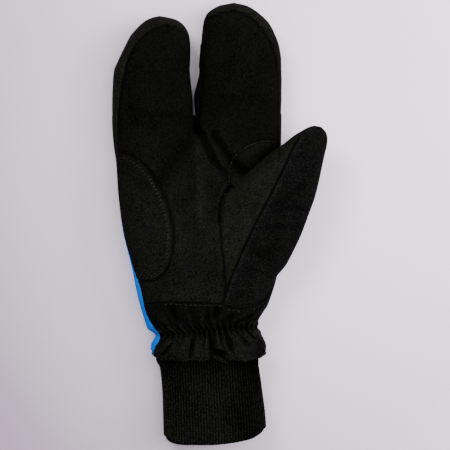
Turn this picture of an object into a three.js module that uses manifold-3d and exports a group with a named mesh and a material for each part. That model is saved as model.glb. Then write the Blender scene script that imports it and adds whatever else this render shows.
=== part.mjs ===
// Lobster claw ski mitt for the right hand, lying on its back with the palm up.
// Millimetres. X runs toward the thumb, Y toward the fingertips and Z up out of the palm.
// While it is built, Y = 0 is the elastic line of the wrist; the last step moves the
// origin to the middle of the underside.

import * as THREE from 'three';
import { mergeVertices } from 'three/addons/utils/BufferGeometryUtils.js';
import Module from 'manifold-3d';

const wasm = await Module();
wasm.setup();

// Sizes of the hand
const palmWidth = 110;          // across the knuckles
const palmDepth = 37;           // back of the hand to palm
const handLength = 142;         // wrist elastic to the slot between the pouches
const sideSeamHeight = 15;      // height of the widest line of the hand
const wall = 3;                 // shell fabric, padding and lining together

// Sizes of the two finger pouches and the thumb
const ringPouchWidth = 0.464 * palmWidth;
const ringPouchLength = 63.5;   // slot to tip
const indexPouchWidth = 0.482 * palmWidth;
const indexPouchLength = 72;
const pouchDepth = 28;
const pouchSeamHeight = 14.5;
const fourchetteDrop = 9;       // how far the slot lining reaches below the side seam
const thumbLength = 98.7;
const thumbWidth = 54;          // where the thumb leaves the palm
const thumbDepth = 33;
const thumbAngle = 27.4;        // degrees away from the fingers
const thumbSeamDrop = 0.7;      // the inner seam lies below the thumb's widest line

// Sizes of the wrist
const skirtLength = 18;         // palm seam to the elastic
const skirtTopWidth = 84;
const wristWidth = 66;          // drawn in by the elastic
const wristDepth = 31;
const hemLength = 19.6;         // elastic to the hem
const hemWidth = 75;
const hemDepth = 34;
const skirtWall = 2;
const pleatCount = 16;          // gathers across the front
const pleatPoints = 3;
const pleatHeight = 2;
const puffHeight = 2.2;         // broad puffs between groups of gathers
const puffCount = 5;
const puffPhase = 0.6;          // radians, moves the puffs across
const hemNotch = 4.5;           // the hem is caught up over the loop

// Sizes of the cuff
const cuffLength = 54;          // hem to the lower edge
const cuffWidth = 66;
const cuffDepth = 27;
const cuffWall = 3;             // two layers of knit
const cuffDrift = 5.2;          // how far the lower edge lies toward the thumb
const cuffSlope = 0.118;        // of the lower edge, which rises toward the thumb
const cuffSag = 7.5;            // how far the lower edge bows out
const ribCount = 60;
const ribHeight = 0.7;

// Sizes of what is sewn on
const patchThickness = 1;
const heelPatchLength = 85;
const heelPatchWidth = 46;
const heelPatchTurn = 17.5;     // degrees
const loopWidth = 13;
const loopHeight = 3.4;
const loopTape = 7;             // width of the tape
const loopThickness = 1;
const loopAcross = 8.8;         // middle of the loop from the middle of the wrist

const seamGap = 0.3;
const cuffClearance = 0.6;      // between the cuff and the skirt under the elastic
const roundTop = 2.6;           // squareness of the palm side of a section
const roundBack = 3.4;          // the back is flattened where it lies
const roundEdge = 0.45;
const flattest = 0.2;           // a fold leaves at least this share of the height of a section
const smallest = 0.3;           // half size of the last ring at a tip
const tall = 90;                // higher than any part of the mitt

// A table with named columns; a row may stop before the last ones.
function table(columns, rows) {
  const names = columns.split(' ');
  return rows.map((row) => Object.fromEntries(row.map((value, i) => [names[i], value])));
}

// Sections of the hand from the hem to the slot. left, right are shares of the width and
// low, high of the depth that the row follows; tilt is the slope of the section;
// seamLeft, seamRight are how far in from the edge the side seams lie, shares of the palm
// width.
const spans = {
  hem: { width: hemWidth, depth: hemDepth, start: 0, length: -hemLength, wall: skirtWall },
  wrist: { width: wristWidth, depth: wristDepth, start: 0, length: 0, wall: skirtWall },
  skirt: {
    width: skirtTopWidth, depth: palmDepth, start: 0, length: skirtLength, wall: skirtWall,
  },
  palm: {
    width: palmWidth, depth: palmDepth, start: skirtLength, length: handLength - skirtLength,
    wall,
  },
};
const handRows = table('of along tilt left right low high seamLeft seamRight', [
  ['hem', 1.0, 0, -0.475, 0.5, 0.03, 0.97, 0.01, 0.01],
  ['hem', 0.84, 0.01, -0.48, 0.505, 0.01, 1.0, 0.012, 0.012],
  ['hem', 0.62, 0.02, -0.49, 0.515, 0.0, 1.02, 0.018, 0.018],
  ['hem', 0.37, 0.04, -0.485, 0.497, 0.0, 1.0, 0.03, 0.02],
  ['hem', 0.17, 0.06, -0.46, 0.465, 0.03, 0.95, 0.03, 0.015],
  ['wrist', 0, 0.08, -0.5, 0.5, 0.06, 1.0, 0.02, 0.01],
  ['skirt', 0.22, 0.06, -0.458, 0.395, 0.03, 0.87, 0.045, 0.01],
  ['skirt', 0.6, 0.03, -0.494, 0.435, 0.0, 0.92, 0.036, 0.008],
  ['skirt', 1.0, 0, -0.524, 0.479, -0.027, 0.95, 0.03, 0.006],
  ['palm', 0.177, 0, -0.445, 0.42, -0.027, 1.0, 0.02, 0.005],
  ['palm', 0.387, 0, -0.5, 0.434, -0.027, 1.0, 0.008, 0.005],
  ['palm', 0.597, 0, -0.528, 0.434, -0.027, 0.96, 0.016, 0.005],
  ['palm', 0.68, 0, -0.534, 0.434, -0.027, 0.93, 0.022, 0.007],
  ['palm', 0.75, 0, -0.538, 0.436, -0.027, 0.9, 0.026, 0.01],
  ['palm', 0.84, 0, -0.555, 0.438, -0.025, 0.85, 0.042, 0.016],
  ['palm', 0.92, 0, -0.56, 0.439, 0.0, 0.8, 0.049, 0.02],
  ['palm', 0.965, 0, -0.558, 0.434, 0.03, 0.75, 0.05, 0.021],
  ['palm', 0.992, 0, -0.53, 0.41, 0.16, 0.6, 0.05, 0.021],
]);

// Folds of the palm side, each along a line of points (shares of palm width and hand
// length). depth is a share of the palm depth, below zero for a ridge; width of the palm width.
const palmFolds = [
  { depth: 0.2, width: 0.055, line: [[-0.075, 1.01], [-0.06, 0.93]] },
  { depth: 0.075, width: 0.045, line: [[-0.042, 0.934], [0.035, 0.83], [0.13, 0.7]] },
  { depth: 0.1, width: 0.06, line: [[0.036, 0.9], [0.125, 0.82], [0.237, 0.73]] },
  { depth: 0.045, width: 0.08, line: [[-0.083, 0.9], [-0.225, 0.78], [-0.3, 0.7]] },
  { depth: -0.05, width: 0.055, line: [[-0.06, 0.92], [-0.045, 0.6]] },
];

// Sections of the pouches from below the slot to the tip. middle, half are shares of the
// pouch width; low, high of its depth; seamLeft, seamRight how far in the palm seam lies.
const ringPouchRows = table('along middle half low high seamLeft seamRight', [
  [-0.5, 0.02, 0.47, 0.12, 0.9, 0.1, 0.0],
  [0.0, 0.01, 0.519, 0.01, 1.0, 0.11, 0.0],
  [0.42, -0.004, 0.489, 0.0, 0.98, 0.16, 0.0],
  [0.57, 0.035, 0.455, 0.02, 0.96, 0.145, 0.0],
  [0.7, 0.075, 0.415, 0.05, 0.93, 0.145, 0.0],
  [0.8, 0.1, 0.376, 0.08, 0.89, 0.19, 0.01],
  [0.89, 0.124, 0.302, 0.15, 0.82, 0.29, 0.15],
  [0.93, 0.128, 0.257, 0.2, 0.78],
  [0.965, 0.126, 0.185, 0.28, 0.71],
  [0.988, 0.11, 0.105, 0.37, 0.63],
  [1.0, 0.1, 0.03, 0.46, 0.55],
]);
const indexPouchRows = table('along middle half low high seamLeft seamRight', [
  [-0.45, -0.02, 0.47, 0.12, 0.9, 0.06, 0.04],
  [0.0, 0.0, 0.523, 0.01, 1.0, 0.06, 0.043],
  [0.16, 0.0, 0.53, 0.0, 1.0, 0.07, 0.055],
  [0.37, 0.03, 0.499, 0.0, 0.99, 0.025, 0.08],
  [0.5, 0.03, 0.497, 0.01, 0.97, 0.024, 0.105],
  [0.62, 0.025, 0.477, 0.03, 0.95, 0.018, 0.13],
  [0.73, 0.005, 0.446, 0.06, 0.92, 0.018, 0.157],
  [0.82, -0.02, 0.405, 0.09, 0.88, 0.02, 0.19],
  [0.875, -0.043, 0.358, 0.13, 0.84, 0.06, 0.22],
  [0.912, -0.058, 0.314, 0.17, 0.8, 0.17, 0.27],
  [0.948, -0.06, 0.248, 0.23, 0.75],
  [0.976, -0.06, 0.178, 0.3, 0.69],
  [0.992, -0.055, 0.1, 0.38, 0.62],
  [1.0, -0.05, 0.03, 0.46, 0.55],
]);

// Sections of the thumb from inside the palm to the tip. middle, half are shares of the
// thumb width; rise, half depth are shares of the thumb depth, rise above the underside.
const thumbRows = table('along middle half rise thick', [
  [-0.13, -0.06, 0.34, 0.55, 0.3],
  [0.0, -0.1, 0.47, 0.6, 0.42],
  [0.12, -0.12, 0.53, 0.67, 0.49],
  [0.25, -0.12, 0.525, 0.74, 0.51],
  [0.36, -0.118, 0.508, 0.79, 0.5],
  [0.47, -0.095, 0.458, 0.82, 0.485],
  [0.57, -0.068, 0.408, 0.835, 0.465],
  [0.69, -0.05, 0.337, 0.85, 0.435],
  [0.79, -0.03, 0.265, 0.86, 0.395],
  [0.86, -0.018, 0.22, 0.865, 0.35],
  [0.92, 0.0, 0.174, 0.87, 0.29],
  [0.965, 0.008, 0.125, 0.875, 0.215],
  [0.99, 0.01, 0.075, 0.88, 0.13],
  [1.0, 0.01, 0.02, 0.88, 0.04],
]);
const thumbRoot = { across: 0.2525, along: 0.318 };

// Seam lines. The hand's are shares of palm width and hand length, the thumb's of thumb
// width and thumb length.
const gussetSeam = [
  [0.095, 0.13], [0.113, 0.21], [0.1, 0.29], [0.083, 0.396], [0.074, 0.5], [0.083, 0.575],
  [0.107, 0.635], [0.135, 0.672],
];
const terrySeam = [[-0.155, 0.955], [-0.185, 0.8], [-0.163, 0.66], [-0.158, 0.45], [-0.157, 0.22],
  [-0.14, 0.02], [-0.115, -0.17]];
const palmHem = [[-0.6, 0.12], [-0.39, 0.13], [-0.28, 0.138], [-0.13, 0.133], [0.02, 0.135],
  [0.095, 0.13]];
const terryHem = [[0.125, 0.115], [0.2, 0.1], [0.28, 0.11], [0.34, 0.15], [0.39, 0.21],
  [0.46, 0.26]];
const backSeam = [[-0.7, 0.48], [-0.5, 0.5], [-0.3, 0.585], [0, 0.62], [0.25, 0.56], [0.42, 0.42],
  [0.7, 0.3]];
const crotchPatchEdge = [[0.405, 0.865], [0.36, 0.868], [0.29, 0.86], [0.235, 0.84], [0.19, 0.812],
  [0.155, 0.785], [0.135, 0.755], [0.125, 0.715], [0.14, 0.66]];
const heelPatchMiddle = [-0.434, 0.522];
const slotMiddle = -0.072;      // middle of the slot, a share of the palm width
const slotBottom = [[-0.113, 0.989], [-0.095, 0.952], [-0.071, 0.936], [-0.053, 0.947],
  [-0.042, 0.989]];

// Small helpers
const lerp = THREE.MathUtils.lerp;

function handPoint([across, along]) {
  return new THREE.Vector2(across * palmWidth, along * handLength);
}

function gauss(distance, width) {
  return Math.exp(-((distance / width) ** 2));
}

function column(rows, key, along) {
  let i = 1;
  while (i < rows.length - 1 && rows[i].along < along) i += 1;
  const share = (along - rows[i - 1].along) / (rows[i].along - rows[i - 1].along);
  return lerp(rows[i - 1][key], rows[i][key], THREE.MathUtils.clamp(share, 0, 1));
}

// A hollow needs fewer sections: every other one, with the last
function everyOther(rows) {
  return rows.filter((row, i) => i % 2 === 0 || i === rows.length - 1);
}

function distanceToLine(point, line) {
  let best = Infinity;
  for (let i = 1; i < line.length; i += 1) {
    const start = line[i - 1];
    const step = line[i].clone().sub(start);
    const share = point.clone().sub(start).dot(step) / step.lengthSq();
    const near = start.clone().addScaledVector(step, THREE.MathUtils.clamp(share, 0, 1));
    best = Math.min(best, near.distanceTo(point));
  }
  return best;
}

// Moves every side of a closed outline outward by a distance
function offsetOutline(points, distance) {
  const turn = THREE.ShapeUtils.isClockWise(points) ? -1 : 1;
  return points.map((point, i) => {
    const before = points[(i + points.length - 1) % points.length];
    const after = points[(i + 1) % points.length];
    const first = point.clone().sub(before).normalize();
    const second = after.clone().sub(point).normalize();
    const normal = new THREE.Vector2(first.y + second.y, -first.x - second.x).normalize();
    const open = Math.max(normal.x * first.y - normal.y * first.x, 0.4);
    return point.clone().addScaledVector(normal, (turn * distance) / open);
  });
}

// Solids
function solidOf(geometry) {
  const bare = geometry.clone();
  bare.deleteAttribute('normal');
  bare.deleteAttribute('uv');
  const welded = mergeVertices(bare, 1e-4);
  return new wasm.Manifold(new wasm.Mesh({
    numProp: 3,
    vertProperties: new Float32Array(welded.attributes.position.array),
    triVerts: new Uint32Array(welded.index.array),
  }));
}

function geometryOf(solid) {
  const mesh = solid.getMesh();
  const geometry = new THREE.BufferGeometry();
  geometry.setAttribute('position', new THREE.BufferAttribute(mesh.vertProperties, 3));
  geometry.setIndex(new THREE.BufferAttribute(mesh.triVerts, 1));
  geometry.computeVertexNormals();
  return geometry;
}

// Skins a row of rings, all with the same number of points, and closes both ends
function loft(rings) {
  const count = rings[0].length;
  const points = rings.flat();
  const faces = [];
  for (let i = 0; i < rings.length - 1; i += 1) {
    for (let j = 0; j < count; j += 1) {
      const a = i * count + j;
      const b = i * count + ((j + 1) % count);
      faces.push(a, a + count, b + count, a, b + count, b);
    }
  }
  const ends = [[rings[0], 0, 1], [rings[rings.length - 1], (rings.length - 1) * count, -1]];
  for (const [ring, first, side] of ends) {
    const hub = points.length;
    const middle = new THREE.Vector3();
    for (const point of ring) middle.addScaledVector(point, 1 / count);
    points.push(middle);
    for (let j = 0; j < count; j += 1) {
      const here = first + j;
      const next = first + ((j + 1) % count);
      faces.push(hub, side > 0 ? here : next, side > 0 ? next : here);
    }
  }
  const geometry = new THREE.BufferGeometry().setFromPoints(points);
  geometry.setIndex(faces);
  return geometry;
}

function prism(outline, grow = 0, low = -tall, high = tall) {
  const shape = new THREE.Shape(offsetOutline(outline, grow));
  const geometry = new THREE.ExtrudeGeometry(shape, {
    depth: high - low + 2 * grow, bevelEnabled: false,
  });
  return solidOf(geometry.translate(0, 0, low - grow));
}

// Height of a section above its side seam, 1 in the middle and 0 at the edge
function bulge(side, squareness) {
  return Math.max(1 - Math.abs(side) ** squareness, 0) ** roundEdge;
}

// One closed section of a padded cloth tube, from the right edge over the palm side to the
// left edge and back underneath. relief moves a point of the palm side.
function ovalRing(section, grow, topCount, backCount, relief) {
  const half = Math.max((section.right - section.left) / 2 + grow, smallest);
  const middle = (section.right + section.left) / 2;
  const up = Math.max(section.high - section.seam + grow, smallest);
  const down = Math.max(section.seam - section.low + grow, smallest);
  const ring = [];
  for (let i = 0; i < topCount; i += 1) {
    const side = Math.cos((Math.PI * i) / topCount);
    const height = bulge(side, roundTop);
    const point = new THREE.Vector3(middle + half * side, section.y, section.seam + up * height);
    if (relief) relief(point, side, height, i);
    ring.push(point);
  }
  for (let i = 0; i < backCount; i += 1) {
    const side = -Math.cos((Math.PI * i) / backCount);
    const height = section.seam - down * bulge(side, roundBack);
    ring.push(new THREE.Vector3(middle + half * side, section.y, height));
  }
  if (section.tilt) {
    for (const point of ring) point.y += section.tilt * point.x;
  }
  return ring;
}

// The hand from hem to slot
function handSection(row, grow = 0) {
  const span = spans[row.of];
  const growth = row.of === 'palm' ? grow : 0;
  return {
    y: span.start + row.along * (span.length + growth),
    tilt: row.tilt,
    left: row.left * span.width,
    right: row.right * span.width,
    low: row.low * span.depth,
    high: row.high * span.depth,
    seam: sideSeamHeight,
  };
}

const foldLines = palmFolds.map((fold) => ({
  depth: fold.depth * palmDepth,
  width: fold.width * palmWidth,
  line: fold.line.map(handPoint),
}));

function foldDepth(x, y) {
  const here = new THREE.Vector2(x, y);
  return foldLines.reduce(
    (sum, fold) => sum + fold.depth * gauss(distanceToLine(here, fold.line), fold.width), 0);
}

function pressFolds(point, side, height) {
  const depth = foldDepth(point.x, point.y) * height;
  point.z = Math.max(point.z - depth, sideSeamHeight + flattest * (point.z - sideSeamHeight));
}

// Gathers stand out most at the elastic and fade toward the palm seam and the hem. The
// shares say how far each goes: of skirt and hem length, and the notch of the loop width.
const gatherSpread = { fine: 0.6, swell: 1.4, puff: 0.4, puffAt: 0.55, notch: 0.62 };

function gatherSkirt(point, side, height, i) {
  const reach = (point.y > 0 ? skirtLength : hemLength) * gatherSpread.fine;
  const fine = Math.cos((2 * Math.PI * i) / pleatPoints) * gauss(point.y, reach);
  const broad = Math.cos(Math.PI * puffCount * side + puffPhase)
    * gauss(Math.abs(point.y) - hemLength * gatherSpread.puffAt, hemLength * gatherSpread.puff);
  const swell = gauss(point.y, reach * gatherSpread.swell);
  const lift = (fine + 1) * 0.5 * pleatHeight * swell + broad * 0.5 * puffHeight * height;
  const out = new THREE.Vector2(side, height).normalize();
  point.x += out.x * lift;
  point.z += out.y * lift;
  const towardHem = Math.max(-point.y / hemLength - 0.5, 0) * 2;
  point.y += hemNotch * towardHem * gauss(point.x - loopAcross, loopWidth * gatherSpread.notch);
}

const hollowRows = handRows.filter((row) => row.along > 0.3 || row.of === 'wrist');

// The hand as a solid, or its hollow. The gathered part has more points across than the palm.
function handSolid(grow, hollow = false) {
  const ringsOf = (rows, topCount, backCount) => rows.map((row) => {
    const growth = hollow ? -spans[row.of].wall : grow;
    const relief = row.of === 'palm' ? pressFolds : gatherSkirt;
    return ovalRing(handSection(row, growth), growth, topCount, backCount,
      hollow && row.of !== 'palm' ? undefined : relief);
  });
  if (hollow) {
    const rings = ringsOf(hollowRows, 19, 6);
    rings.unshift(rings[0].map((point) => point.clone().setY(-hemLength - cuffSag)));
    return solidOf(loft(rings));
  }
  const seamRow = handRows.findLastIndex((row) => row.of === 'skirt');
  const gathered = ringsOf(handRows.slice(0, seamRow + 1), pleatCount * pleatPoints, 10);
  const smooth = ringsOf(handRows.slice(seamRow), 28, 10);
  return solidOf(loft(gathered)).add(solidOf(loft(smooth)));
}

// A pouch, whose axis runs along Y through across
function pouchSection(pouch, row, grow) {
  const reach = row.along > 0 ? pouch.length + grow : pouch.length;
  const middle = pouch.across + row.middle * pouch.width;
  return {
    y: handLength + row.along * reach,
    left: middle - row.half * pouch.width,
    right: middle + row.half * pouch.width,
    low: row.low * pouchDepth,
    high: row.high * pouchDepth,
    seam: pouchSeamHeight,
  };
}

const slotRow = handRows.at(-3);
const pouchMiddle = { ring: 0.5, index: 0.52 };  // from the side of the hand, pouch widths
const ringPouch = {
  rows: ringPouchRows,
  width: ringPouchWidth,
  length: ringPouchLength,
  across: slotRow.left * palmWidth + pouchMiddle.ring * ringPouchWidth,
};
const indexPouch = {
  rows: indexPouchRows,
  width: indexPouchWidth,
  length: indexPouchLength,
  across: slotRow.right * palmWidth - pouchMiddle.index * indexPouchWidth,
};

function pouchSolid(pouch, grow) {
  const [topCount, backCount] = grow < 0 ? [8, 4] : [12, 6];
  const rows = grow < 0 ? everyOther(pouch.rows) : pouch.rows;
  return solidOf(loft(rows.map(
    (row) => ovalRing(pouchSection(pouch, row, grow), grow, topCount, backCount))));
}

// The thumb, built along its own axis and then turned out to its place
const thumbPlace = new THREE.Matrix4()
  .makeRotationZ(-THREE.MathUtils.degToRad(thumbAngle))
  .setPosition(thumbRoot.across * palmWidth, thumbRoot.along * handLength, 0);

function thumbPoint([across, along]) {
  const point = new THREE.Vector3(across * thumbWidth, along * thumbLength, 0);
  point.applyMatrix4(thumbPlace);
  return new THREE.Vector2(point.x, point.y);
}

function thumbSolid(grow) {
  const [topCount, backCount] = grow < 0 ? [8, 4] : [12, 6];
  const rows = grow < 0 ? everyOther(thumbRows) : thumbRows;
  const rings = rows.map((row) => {
    const reach = row.along > 0 ? thumbLength + grow : thumbLength;
    return ovalRing({
      y: row.along * reach,
      left: (row.middle - row.half) * thumbWidth,
      right: (row.middle + row.half) * thumbWidth,
      low: (row.rise - row.thick) * thumbDepth,
      high: (row.rise + row.thick) * thumbDepth,
      seam: row.rise * thumbDepth,
    }, grow, topCount, backCount);
  });
  return solidOf(loft(rings).applyMatrix4(thumbPlace));
}

// Everything above the middle of the thumb, or above the side seam in the palm
function aboveThumb(grow) {
  const side = new THREE.Shape();
  side.moveTo(-handLength, sideSeamHeight - grow);
  side.lineTo(thumbRows[1].along * thumbLength, sideSeamHeight - grow);
  for (const row of thumbRows.slice(3)) {
    side.lineTo(row.along * thumbLength, row.rise * thumbDepth - thumbSeamDrop - grow);
  }
  side.lineTo(2 * thumbLength, thumbRows.at(-1).rise * thumbDepth - thumbSeamDrop - grow);
  side.lineTo(2 * thumbLength, tall);
  side.lineTo(-handLength, tall);
  const geometry = new THREE.ExtrudeGeometry(side, { depth: 4 * tall, bevelEnabled: false });
  const turned = new THREE.Matrix4().makeBasis(
    new THREE.Vector3(0, 1, 0), new THREE.Vector3(0, 0, 1), new THREE.Vector3(1, 0, 0));
  geometry.applyMatrix4(turned).translate(-2 * tall, 0, 0).applyMatrix4(thumbPlace);
  return solidOf(geometry);
}

// The palm side of a padded tube: at each section, all that lies above the two rays from its
// middle through its seams
function palmSideOf(sections, insets, reach, grow) {
  const rings = sections.map((section, i) => {
    const half = (section.right - section.left) / 2;
    const middle = (section.right + section.left) / 2;
    const [left, right] = insets[i];
    const rays = [half - right, -half + left].map((across) => {
      const height = (section.high - section.seam) * bulge(across / half, roundTop);
      const length = Math.hypot(across, height);
      return new THREE.Vector2(across, height).multiplyScalar((length + reach) / length);
    });
    const tilt = section.tilt ?? 0;
    const place = (x, z) => new THREE.Vector3(middle + x, section.y + tilt * (middle + x), z);
    const floor = section.seam - grow;
    return [
      place(rays[0].x + grow, floor + rays[0].y),
      place(rays[0].x + grow, tall),
      place(rays[1].x - grow, tall),
      place(rays[1].x - grow, floor + rays[1].y),
      place(0, floor),
    ];
  });
  return solidOf(loft(rings));
}

// How far the rays reach past the skin, over the gathers of the hand and past the plain pouches
const rayReach = { hand: 8, pouch: 3 };

function palmRegion(grow) {
  const hand = palmSideOf(
    handRows.map((row) => handSection(row)),
    handRows.map((row) => [row.seamLeft * palmWidth, row.seamRight * palmWidth]),
    rayReach.hand, grow);
  const pouches = [ringPouch, indexPouch].map((pouch) => {
    const rows = pouch.rows.filter((row) => 'seamLeft' in row);
    return palmSideOf(
      rows.map((row) => pouchSection(pouch, row, grow)),
      rows.map((row) => [row.seamLeft * pouch.width, row.seamRight * pouch.width]),
      rayReach.pouch, grow);
  });
  return hand.add(pouches[0]).add(pouches[1]);
}

// The slot between the pouches with the walls that line it, all of it or only the index side
const slotStations = [0, 0.2, 0.42, 0.6, 0.78];
const liningReach = 1.6;        // into the ring pouch, walls

function slotRegion(indexOnly, grow) {
  const edgeOf = (pouch, share, side) => {
    const middle = column(pouch.rows, 'middle', share) + side * column(pouch.rows, 'half', share);
    return pouch.across + middle * pouch.width;
  };
  const indexSide = slotStations.map((share) => {
    const inset = column(indexPouch.rows, 'seamLeft', share) * indexPouchWidth;
    const y = handLength + share * ringPouchLength;
    return new THREE.Vector2(edgeOf(indexPouch, share, -1) + inset, y);
  });
  const ringSide = slotStations.map((share) => new THREE.Vector2(
    indexOnly ? slotMiddle * palmWidth : edgeOf(ringPouch, share, 1) - liningReach * wall,
    handLength + share * ringPouchLength));
  const bottom = slotBottom.filter((point) => !indexOnly || point[0] >= slotMiddle);
  const outline = [...ringSide.reverse(), ...bottom.map(handPoint), ...indexSide];
  return prism(outline, grow, pouchSeamHeight - fourchetteDrop, tall);
}

// The thumb with its gusset, seen from above, and the terry part of it. The edges run past
// the skin of the thumb by these shares of its width.
const past = { inner: 0.04, outer: 0.08 };
const thumbTip = [thumbPoint([-0.2, 1.1]), thumbPoint([0.25, 1.1])];
const thumbOuterEdge = thumbRows.filter((row) => row.along > 0).reverse().map(
  (row) => thumbPoint([row.middle + row.half + past.outer, row.along]));
const lowerEdge = terryHem.map(handPoint).reverse();

const thumbHeart = thumbPoint([0, 0.3]);

// The gusset over the ball of the thumb and the free thumb overlap at its heart
function thumbRegion(grow) {
  const innerEdge = thumbRows.filter((row) => row.along > 0.3).map(
    (row) => thumbPoint([row.middle - row.half - past.inner, row.along]));
  const gusset = prism([...gussetSeam.map(handPoint), thumbHeart, ...lowerEdge], grow);
  const root = thumbPoint([-0.3, 0]);
  return gusset.add(prism([root, ...innerEdge, ...thumbTip, ...thumbOuterEdge], grow));
}

function terryRegion(grow) {
  const seam = terrySeam.map(thumbPoint).reverse();
  const ball = prism([handPoint(gussetSeam[0]), ...seam.slice(0, 3), thumbHeart, ...lowerEdge], grow);
  return ball.add(prism([...seam, ...thumbTip, ...thumbOuterEdge], grow));
}

// The part of the thumb that stands beyond the side of the hand
const handSide = slotRow.right + 0.005;
const beyondLine = [[handSide, 0.265], [1.2, 0.265], [1.2, 1.3], [0.5, 1.3], [0.5, 0.9],
  [handSide + 0.01, 0.86], [handSide, 0.845]];

function thumbBeyondHand(grow) {
  return prism(beyondLine.map(handPoint), grow);
}

// All that lies toward the cuff from the seam under the palm and the terry panel
const belowLine = [...palmHem, ...terryHem, [0.9, 0.28], [0.9, -0.6], [-0.9, -0.6], [-0.9, 0.12]];

function belowHand(grow) {
  return prism(belowLine.map(handPoint), grow);
}

// Shell
const half = seamGap / 2;
const outerHand = handSolid(0).add(pouchSolid(ringPouch, 0))
  .add(pouchSolid(indexPouch, 0)).add(thumbSolid(0));
const hollow = handSolid(0, true).add(pouchSolid(ringPouch, -wall))
  .add(pouchSolid(indexPouch, -wall)).add(thumbSolid(-wall));
const floor = prism([[-3, -3], [3, -3], [3, 3], [-3, 3]].map(handPoint), 0, -tall, 0);
const shell = outerHand.subtract(hollow).subtract(floor);

const palmSide = { inside: palmRegion(-half), outside: palmRegion(half) };
const thumbArea = { inside: thumbRegion(-half), outside: thumbRegion(half) };
const terryArea = { inside: terryRegion(-half), outside: terryRegion(half) };
const thumbFront = { exact: aboveThumb(0), inside: aboveThumb(-seamGap), outside: aboveThumb(half) };
const beyond = { inside: thumbBeyondHand(0), outside: thumbBeyondHand(seamGap) };
const below = { inside: belowHand(-half), outside: belowHand(half) };
const blueLine = [...backSeam, [0.9, 0.3], [0.9, -0.6], [-0.9, -0.6], [-0.9, 0.48]].map(handPoint);

function palmPanel() {
  return shell.intersect(palmSide.inside).subtract(below.outside).subtract(thumbArea.outside)
    .subtract(slotRegion(true, seamGap)).subtract(beyond.outside);
}

function wristSkirt() {
  return shell.intersect(palmSide.inside).intersect(below.inside).subtract(thumbArea.outside);
}

function fourchette() {
  return shell.intersect(slotRegion(false, -half))
    .subtract(palmSide.outside.subtract(slotRegion(true, 0)));
}

function backOfHand() {
  const open = shell.subtract(palmSide.outside).subtract(thumbArea.outside);
  const underThumb = shell.intersect(thumbArea.outside).subtract(thumbFront.outside);
  return open.add(underThumb).subtract(beyond.outside).subtract(slotRegion(false, half));
}

function thumbPalmPanel() {
  return shell.intersect(thumbArea.inside).intersect(thumbFront.inside)
    .subtract(terryArea.outside);
}

function terryPanel() {
  const palmFront = thumbFront.exact.subtract(terryArea.inside);
  const front = terryArea.inside.intersect(thumbFront.exact);
  return shell.intersect(front.add(beyond.inside)).subtract(palmFront);
}

// A layer of cloth laid on the hand inside an outline
function patch(outline) {
  const lowest = seamGap;
  const highest = seamGap + patchThickness;
  const cover = handSolid(highest).add(pouchSolid(ringPouch, highest))
    .add(pouchSolid(indexPouch, highest));
  const body = handSolid(lowest).add(pouchSolid(ringPouch, lowest))
    .add(pouchSolid(indexPouch, lowest));
  return cover.intersect(prism(outline)).intersect(palmSide.inside).subtract(body);
}

function heelPatch() {
  const middle = handPoint(heelPatchMiddle);
  const oval = new THREE.EllipseCurve(
    middle.x, middle.y, heelPatchWidth / 2, heelPatchLength / 2, 0, 2 * Math.PI, false,
    -THREE.MathUtils.degToRad(heelPatchTurn));
  return patch(oval.getPoints(36).slice(1));
}

function crotchPatch() {
  return patch(crotchPatchEdge.map(handPoint)).subtract(thumbSolid(seamGap));
}

// The cuff, a knitted tube with ribs
const cuffRows = table('along half low drift', [
  [0.0, 0.48, 0.17, 0.15], [0.35, 0.485, 0.08, 0.6], [1.0, 0.5, 0.03, 1.0],
]);

function cuffSection(row) {
  const middle = row.drift * cuffDrift;
  return {
    y: -hemLength - row.along * (cuffLength - cuffSag),
    left: middle - row.half * cuffWidth,
    right: middle + row.half * cuffWidth,
    low: row.low * cuffDepth,
    high: cuffDepth,
    seam: cuffDepth * 0.5,
    slope: row.along * cuffSlope,
    sag: row.along * cuffSag,
  };
}

function cuffTop() {
  const inset = skirtWall + cuffClearance + ribHeight;
  const wrist = handSection(handRows.find((row) => row.of === 'wrist'));
  return {
    y: -1,
    left: wrist.left + inset,
    right: wrist.right - inset,
    low: wrist.low + inset,
    high: wrist.high - inset,
    seam: sideSeamHeight,
    slope: wrist.tilt,
    sag: 0,
  };
}

function cuffRing(section, grow, count, ribbed) {
  const oval = ovalRing({ ...section, tilt: 0 }, grow, 40, 40);
  const ring = new THREE.CatmullRomCurve3(oval, true).getSpacedPoints(count).slice(0, count);
  const middle = (section.left + section.right) / 2;
  const spread = (section.right - section.left) / 2;
  return ring.map((point, i) => {
    const along = ring[(i + 1) % count].clone().sub(ring[(i + count - 1) % count]).normalize();
    const rib = ribbed && i % 2 === 0 ? ribHeight : 0;
    const side = (point.x - middle) / spread;
    const y = point.y + section.slope * (point.x - middle) - section.sag * (1 - side * side);
    return new THREE.Vector3(point.x + along.z * rib, y, point.z - along.x * rib);
  });
}

function cuffSolid(grow, count, ribbed, overrun) {
  const sections = [cuffTop(), ...cuffRows.map(cuffSection)];
  const rings = sections.map((section) => cuffRing(section, grow, count, ribbed));
  if (overrun) {
    rings.unshift(rings[0].map((point) => point.clone().setY(point.y + overrun)));
    rings.push(rings.at(-1).map((point) => point.clone().setY(point.y - overrun)));
  }
  return solidOf(loft(rings.reverse()));
}

function ribCuff() {
  return cuffSolid(0, ribCount * 2, true, 0)
    .subtract(cuffSolid(-cuffWall + ribHeight, 24, false, cuffSag));
}

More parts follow.
